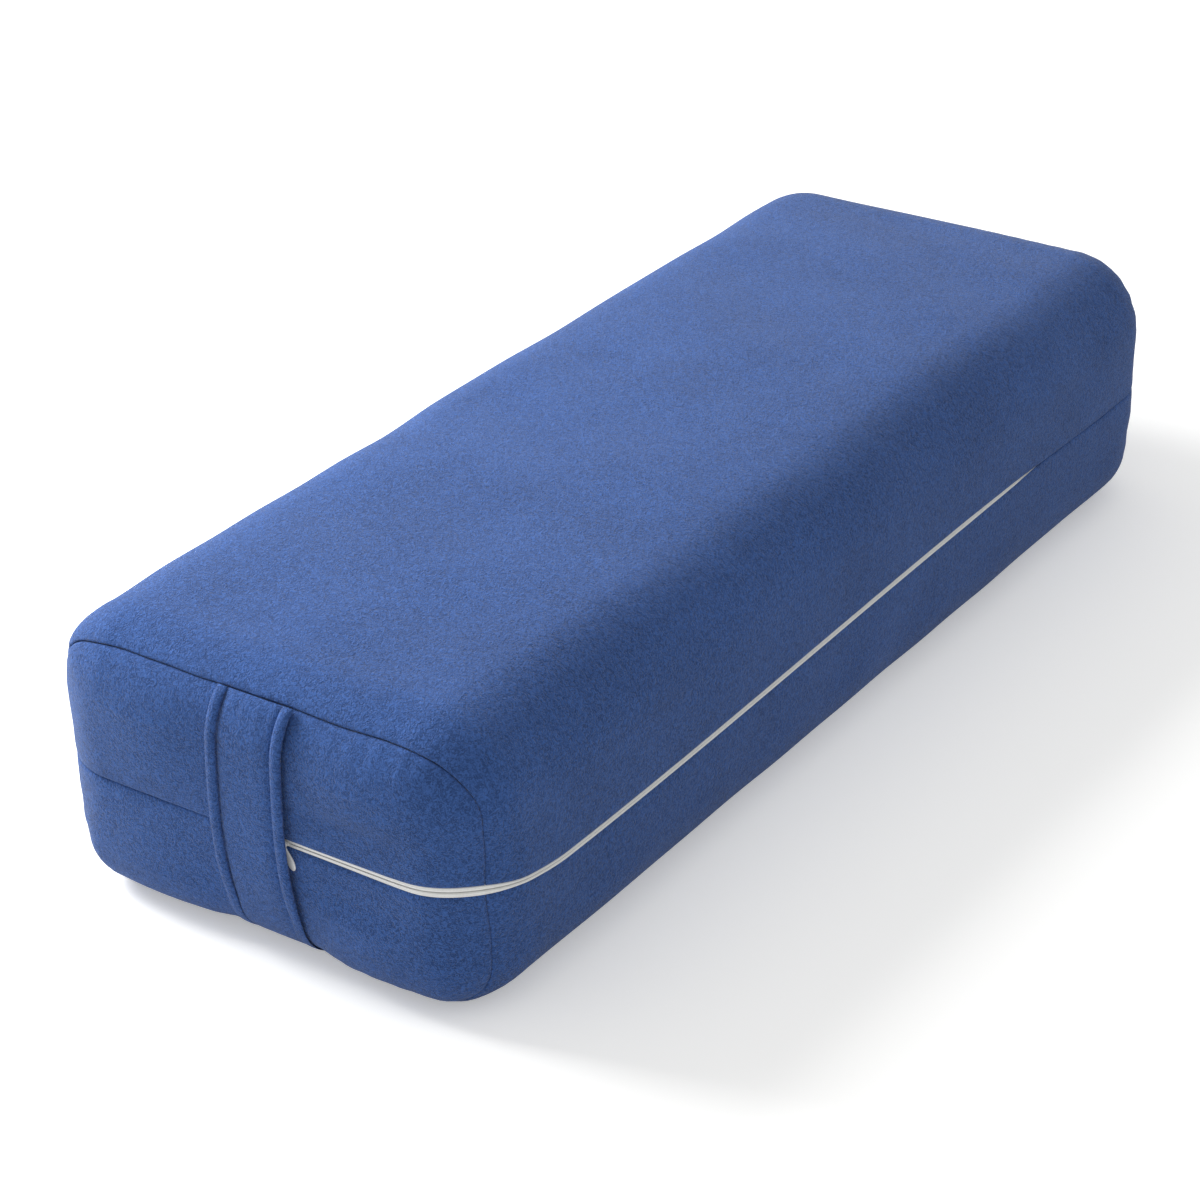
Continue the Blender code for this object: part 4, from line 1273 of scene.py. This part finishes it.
def moulded(name, colour, roughness, grain, depth):
    """A smooth white skin with a trace of orange peel, as on sprayed paint or moulded nylon."""
    material, tree = new_material(name)
    peel = add_node(tree, "ShaderNodeTexNoise", {
        "Vector": object_place(tree), "Scale": 1.0 / grain, "Detail": 2.0,
    }).outputs["Fac"]
    rough = add_node(tree, "ShaderNodeMapRange", {
        "Value": peel, "To Min": roughness * 0.8, "To Max": roughness * 1.25,
    })
    finish_surface(tree, peel, colour, 0.93, peel, 0.2, depth, {
        "Roughness": rough.outputs[0], "IOR": 1.5,
    })
    return material


def porous(name, colour, cell, depth, sheen):
    """Open cells or loose fibre: foam cut from a block, or bonded wadding."""
    material, tree = new_material(name)
    place = object_place(tree)
    cells = add_node(tree, "ShaderNodeTexVoronoi", {"Vector": place, "Scale": 1.0 / cell})
    cloudy = add_node(tree, "ShaderNodeTexNoise", {
        "Vector": place, "Scale": 0.1 / cell, "Detail": 3.0,
    })
    tone = add_node(tree, "ShaderNodeMath", {
        0: cells.outputs["Distance"], 1: cloudy.outputs["Fac"],
    }, operation="ADD")
    share = add_node(tree, "ShaderNodeMapRange", {
        "Value": tone.outputs[0], "From Min": 0.3, "From Max": 1.3, "To Min": 1.0, "To Max": 0.0,
    })
    finish_surface(tree, share.outputs[0], colour, 0.8, cells.outputs["Distance"], 0.5, depth, {
        "Roughness": 0.95, "Specular IOR Level": 0.2, "Sheen Weight": sheen,
    })
    return material


class BOLSTER_OT_cover(bpy.types.Operator):
    """Sew the six panels of the cover over the stuffed block"""

    bl_idname = "bolster.cover"
    bl_label = "Cover Panels"

    def execute(self, context):
        cloth = microsuede()
        swell = simulated_swell()
        cloth_panel("cover_top_wrap", UP, wrap_rows(), cloth, swell)
        cloth_panel("cover_base_wrap", DOWN, wrap_rows(), cloth, swell)
        for side, label in ((NEAR, "near"), (FAR, "far")):
            cloth_panel(label + "_end_upper_panel", UP, panel_rows(side), cloth, swell)
            cloth_panel(label + "_end_lower_panel", DOWN, panel_rows(side), cloth, swell)
        return {"FINISHED"}


class BOLSTER_OT_handle(bpy.types.Operator):
    """Make the handle strap: a face strip over webbing, with a rolled rim on each edge"""

    bl_idname = "bolster.handle"
    bl_label = "Handle Strap"

    def execute(self, context):
        size = sizes()
        cloth = bpy.data.materials["blue_microsuede"]
        webbing = woven(
            "woven_webbing", colours().webbing, pitch=0.0012, depth=0.0003, roughness=0.75,
        )
        here, outwards, to_end, to_base = strap_route(STRAP_STEPS)
        half = size.strap_width / 2 - size.rim_width - CLEARANCE
        tuck = 1.0 - np.exp(-to_end / STRAP_END_REACH)
        full = smooth_step(to_base, *STRAP_FLAT_REACH)
        flattened = STRAP_FLAT_SHARE + (1.0 - STRAP_FLAT_SHARE) * full

        def strap_rings(section_at):
            rings = []
            for number in range(len(here)):
                middle = here[number] + np.array([strap_middle(here[number][2]), 0.0, 0.0])
                rings.append([
                    middle + np.array([x, 0.0, 0.0]) + outwards[number] * off * flattened[number]
                    for x, off in section_at(number)
                ])
            return rings

        def webbing_section(number):
            top = WEBBING_THICKNESS
            return [(-half, 0.0), (half, 0.0), (half, top), (-half, top)]

        edge = half + FACE_TUCK
        columns = edge * np.sin(np.linspace(-math.pi / 2, math.pi / 2, FACE_COLUMNS))
        across = np.stack([columns, 0.0 * columns, 0.0 * columns], -1)
        folds = wave_sum(across, waves(seed=21, count=6, shortest=0.003, longest=0.009))

        def face_section(number):
            share = np.abs(columns) / edge
            dome = np.clip(1.0 - share ** FACE_SHOULDER_POWER, 0.0, None)
            shoulder = FACE_SHOULDER * np.sqrt(dome) * blend(FACE_END_SHARE, 1.0, tuck[number])
            gathers = FACE_GATHERS * folds * pucker_fade(to_end[number])
            crown = (FACE_CROWN + gathers) * (1.0 - share ** FACE_CROWN_POWER) * tuck[number]
            top = FACE_EDGE + shoulder + crown
            base = np.minimum(FACE_BASE, top - FACE_LEAST)
            return list(zip(columns[::-1], base)) + list(zip(columns, top))

        def rim_section(direction):
            centre = direction * (size.strap_width / 2 - size.rim_width / 2)

            def section(number):
                height = size.rim_height * blend(RIM_END_SHARE, 1.0, tuck[number])
                points = []
                for step in range(RIM_SIDES):
                    angle = -math.tau * step / RIM_SIDES
                    x = centre + size.rim_width / 2 * math.cos(angle)
                    points.append((x, height / 2 * (1.0 + math.sin(angle))))
                return points

            return section

        strip = swept("handle_webbing", strap_rings(webbing_section), webbing)
        dress(strip, "bolster", "handle_webbing", "handle_webbing")
        face = swept("handle_face_strip", strap_rings(face_section), cloth)
        dress(face, "bolster", "cover_cloth", "handle_face_strip")
        for direction, label in ((-1, "left"), (1, "right")):
            name = "handle_rim_" + label
            rim = swept(name, strap_rings(rim_section(direction)), cloth)
            dress(rim, "bolster", "cover_cloth", name)
        return {"FINISHED"}


class BOLSTER_OT_zip(bpy.types.Operator):
    """Make the zip's two tapes with their folded edges, its coils and its stops"""

    bl_idname = "bolster.zip"
    bl_label = "Zip"

    def execute(self, context):
        tape = woven("white_zip_tape", colours().tape, pitch=0.0006, depth=0.0001, roughness=0.7)
        coil = moulded(
            "white_nylon_coil", colours().coil, roughness=0.4, grain=0.0008, depth=0.00005,
        )
        paint = moulded(
            "white_painted_zinc", colours().paint, roughness=0.3, grain=0.0006, depth=0.00004,
        )
        for direction, label in ((UP, "upper"), (DOWN, "lower")):
            band = swept("zip_tape_" + label, tape_rings(direction), tape)
            dress(band, "bolster", "zip_tape", "zip_tape_" + label)
            wire = new_object("zip_coil_" + label, closed_sweep(coil_rings(direction)), coil)
            dress(wire, "bolster", "zip_coil", "zip_coil_" + label)
            front = SLIDER_REST_X - SLIDER_LENGTH / 2 - CLEARANCE
            face = on_zip(front, TAPE_DEPTH - CLEARANCE)
            heights = sorted(face[2] + direction * off for off in (SLOT, SLOT + STOP_WIDTH))
            low = (front - STOP_LENGTH, face[1] - STOP_THICKNESS, heights[0])
            clip = rounded_box(low, (front, face[1], heights[1]), STOP_BEVEL)
            stop = new_object("zip_end_stop_" + label, clip, paint)
            dress(stop, "bolster", "zip_metal", "zip_end_stop_" + label)
        behind = COIL_DEPTH + COIL_THICKNESS + CLEARANCE
        row = Row("straight", FAR, ZIP_END_Y / (LENGTH / 2 - END_RADIUS_SIDE))
        tail = stuffed(on_belt(row, [(0.0, behind)]))[0]
        half = COIL_INNER + COIL_WIDTH
        low = (tail[0] - STOP_THICKNESS, ZIP_END_Y - STOP_LENGTH, tail[2] - half)
        clip = rounded_box(low, (tail[0], ZIP_END_Y, tail[2] + half), STOP_BEVEL)
        stop = new_object("zip_tail_stop", clip, paint)
        dress(stop, "bolster", "zip_metal", "zip_tail_stop")
        for body, mesh_data in (("slider", slider_mesh()), ("puller", pull_mesh())):
            piece = new_object("zip_" + body, mesh_data, paint)
            piece.data.set_sharp_from_angle(angle=SHARP_ANGLE)
            dress(piece, body, "zip_metal", "zip_" + body)
        return {"FINISHED"}


class BOLSTER_OT_filling(bpy.types.Operator):
    """Make the cotton lining, the polyester wadding and the foam core"""

    bl_idname = "bolster.filling"
    bl_label = "Filling"

    def execute(self, context):
        lining = woven(
            "cotton_lining", colours().lining, pitch=0.0008, depth=0.0001, roughness=0.9,
            coordinates="Object",
        )
        wadding = porous(
            "polyester_wadding", colours().wadding, cell=0.003, depth=0.001, sheen=0.2,
        )
        foam = porous("firm_foam", colours().foam, cell=0.0015, depth=0.0005, sheen=0.0)
        liner_end = LINER_DEPTH + LINER_THICKNESS
        wadding_depth = liner_end + CLEARANCE
        wadding_end = wadding_depth + WADDING_THICKNESS
        layers = (
            ("liner", LINER_DEPTH, liner_end, True, lining, "lining"),
            ("wadding", wadding_depth, wadding_end, False, wadding, "wadding"),
        )
        rows = tray_rows(FILLING_STEP)
        for direction, label in ((UP, "upper"), (DOWN, "lower")):
            outline = half_outline(direction, FILLING_STEP / 4, FILLING_STEP)
            for kind, outer_depth, inner_depth, dents_inside, material, slot in layers:
                outer = []
                inner = []
                for row in rows:
                    flat = on_block(outline, row, outer_depth)
                    share = np.abs(flat[:, 2] - MID_SEAM_HEIGHT) / SEAM_DENT_REACH
                    dent = SEAM_DENT * np.clip(1.0 - share * share, 0.0, None) ** 2
                    shift = np.array([0.0, 0.0, direction * SEAM_GAP / 2])
                    outer.append(stuffed(on_block(outline, row, outer_depth + dent) + shift))
                    depth = inner_depth + dent * dents_inside
                    inner.append(stuffed(on_block(outline, row, depth) + shift))
                slab = warped_slab(len(outline.x) - 1, len(rows) - 1, outer, inner)
                name = kind + "_" + label + "_half"
                piece = new_object(name, slab, material)
                dress(piece, "bolster", slot, name)
        skin = bmesh.new()
        for direction in (UP, DOWN):
            outline = half_outline(direction, FILLING_STEP, FILLING_STEP)
            points = [stuffed(on_block(outline, row, wadding_end + CLEARANCE)) for row in rows]
            absorb(skin, warped_sheet(len(outline.x) - 1, len(rows) - 1, points))
        core = new_object("foam_core", skin, foam)
        dress(core, "bolster", "foam", "foam_core")
        return {"FINISHED"}


class BOLSTER_OT_stage(bpy.types.Operator):
    """Lay the pale floor, light it with an even sky and a key lamp, and set up the camera"""

    bl_idname = "bolster.stage"
    bl_label = "Stage"

    def execute(self, context):
        scene = context.scene
        floor_mesh = bmesh.new()
        bmesh.ops.create_grid(floor_mesh, x_segments=8, y_segments=8, size=FLOOR_REACH)
        bmesh.ops.translate(floor_mesh, verts=floor_mesh.verts, vec=(0.0, 0.0, -FLOOR_DROP))
        material, tree = new_material("pale_floor")
        floor = new_object("floor", floor_mesh, material)
        mottle = add_node(tree, "ShaderNodeTexNoise", {
            "Vector": object_place(tree), "Scale": 1.0 / FLOOR_MOTTLE,
        })
        paper = add_node(tree, "ShaderNodeMix", {
            0: mottle.outputs["Fac"], 6: linear_colour("F1F1EF"), 7: colours().floor,
        }, data_type="RGBA")
        matt = add_node(tree, "ShaderNodeBsdfDiffuse", {"Color": paper.outputs[2]})
        lifted = add_node(tree, "ShaderNodeMath", {
            0: seen_share(tree), 1: FLOOR_GLOW,
        }, operation="MULTIPLY")
        glow = add_node(tree, "ShaderNodeEmission", {
            "Color": (1.0, 1.0, 1.0, 1.0), "Strength": lifted.outputs[0],
        })
        both = add_node(tree, "ShaderNodeAddShader", {0: matt.outputs[0], 1: glow.outputs[0]})
        finish_material(tree, both)
        world = bpy.data.worlds.new("studio")
        world.use_nodes = True
        scene.world = world
        tree = world.node_tree
        tree.nodes.clear()
        strength = add_node(tree, "ShaderNodeMapRange", {
            "Value": seen_share(tree), "To Min": SKY_LEVEL, "To Max": 1.0,
        })
        sky = add_node(tree, "ShaderNodeBackground", {
            "Color": (1.0, 1.0, 1.0, 1.0), "Strength": strength.outputs[0],
        })
        add_node(tree, "ShaderNodeOutputWorld", {"Surface": sky.outputs[0]})
        lamp = bpy.data.lights.new("key_light", "AREA")
        lamp.shape = "SQUARE"
        lamp.size = KEY_LIGHT_WIDTH
        lamp.energy = KEY_LIGHT_POWER
        holder = bpy.data.objects.new("key_light", lamp)
        scene.collection.objects.link(holder)
        holder.location = KEY_LIGHT_PLACE
        aim = (-Vector(KEY_LIGHT_PLACE)).to_track_quat("-Z", "Y")
        holder.rotation_euler = aim.to_euler()
        back = Vector((
            math.sin(CAMERA_AZIMUTH) * math.cos(CAMERA_ELEVATION),
            -math.cos(CAMERA_AZIMUTH) * math.cos(CAMERA_ELEVATION),
            math.sin(CAMERA_ELEVATION),
        ))
        right = Vector((0.0, 0.0, 1.0)).cross(back).normalized()
        up = back.cross(right)
        turned_right = right * math.cos(CAMERA_ROLL) + up * math.sin(CAMERA_ROLL)
        turned_up = up * math.cos(CAMERA_ROLL) - right * math.sin(CAMERA_ROLL)
        camera = bpy.data.objects.new("camera", bpy.data.cameras.new("camera"))
        camera.data.lens = CAMERA_LENS
        camera.data.sensor_width = CAMERA_SENSOR
        camera.data.clip_start, camera.data.clip_end = CAMERA_CLIP
        turn = Matrix((turned_right, turned_up, back)).transposed()
        spot = Vector(CAMERA_TARGET) + back * CAMERA_DISTANCE
        camera.matrix_world = Matrix.Translation(spot) @ turn.to_4x4()
        scene.collection.objects.link(camera)
        scene.camera = camera
        scene.view_settings.view_transform = "Standard"
        return {"FINISHED"}


class BOLSTER_PT_panel(bpy.types.Panel):
    """Lists the bolster's sizes, colours and pieces"""

    bl_label = "Yoga Bolster"
    bl_idname = "BOLSTER_PT_panel"
    bl_space_type = "VIEW_3D"
    bl_region_type = "UI"
    bl_category = "Bolster"

    def draw(self, context):
        layout = self.layout
        for group in (context.scene.bolster_sizes, context.scene.bolster_colours):
            box = layout.box()
            for name in group.bl_rna.properties.keys():
                if name not in ("rna_type", "name"):
                    box.prop(group, name)
        for operator in OPERATORS:
            layout.operator(operator.bl_idname)


OPERATORS = (
    BOLSTER_OT_stage, BOLSTER_OT_cover, BOLSTER_OT_handle, BOLSTER_OT_zip, BOLSTER_OT_filling,
)
CLASSES = (BolsterSizes, BolsterColours, *OPERATORS, BOLSTER_PT_panel)


def register():
    for item in CLASSES:
        bpy.utils.register_class(item)
    bpy.types.Scene.bolster_sizes = bpy.props.PointerProperty(type=BolsterSizes)
    bpy.types.Scene.bolster_colours = bpy.props.PointerProperty(type=BolsterColours)


def unregister():
    del bpy.types.Scene.bolster_colours
    del bpy.types.Scene.bolster_sizes
    for item in reversed(CLASSES):
        bpy.utils.unregister_class(item)


def main():
    register()
    bpy.ops.bolster.stage()
    bpy.ops.bolster.cover()
    bpy.ops.bolster.handle()
    bpy.ops.bolster.zip()
    bpy.ops.bolster.filling()


if __name__ == "__main__":
    main()
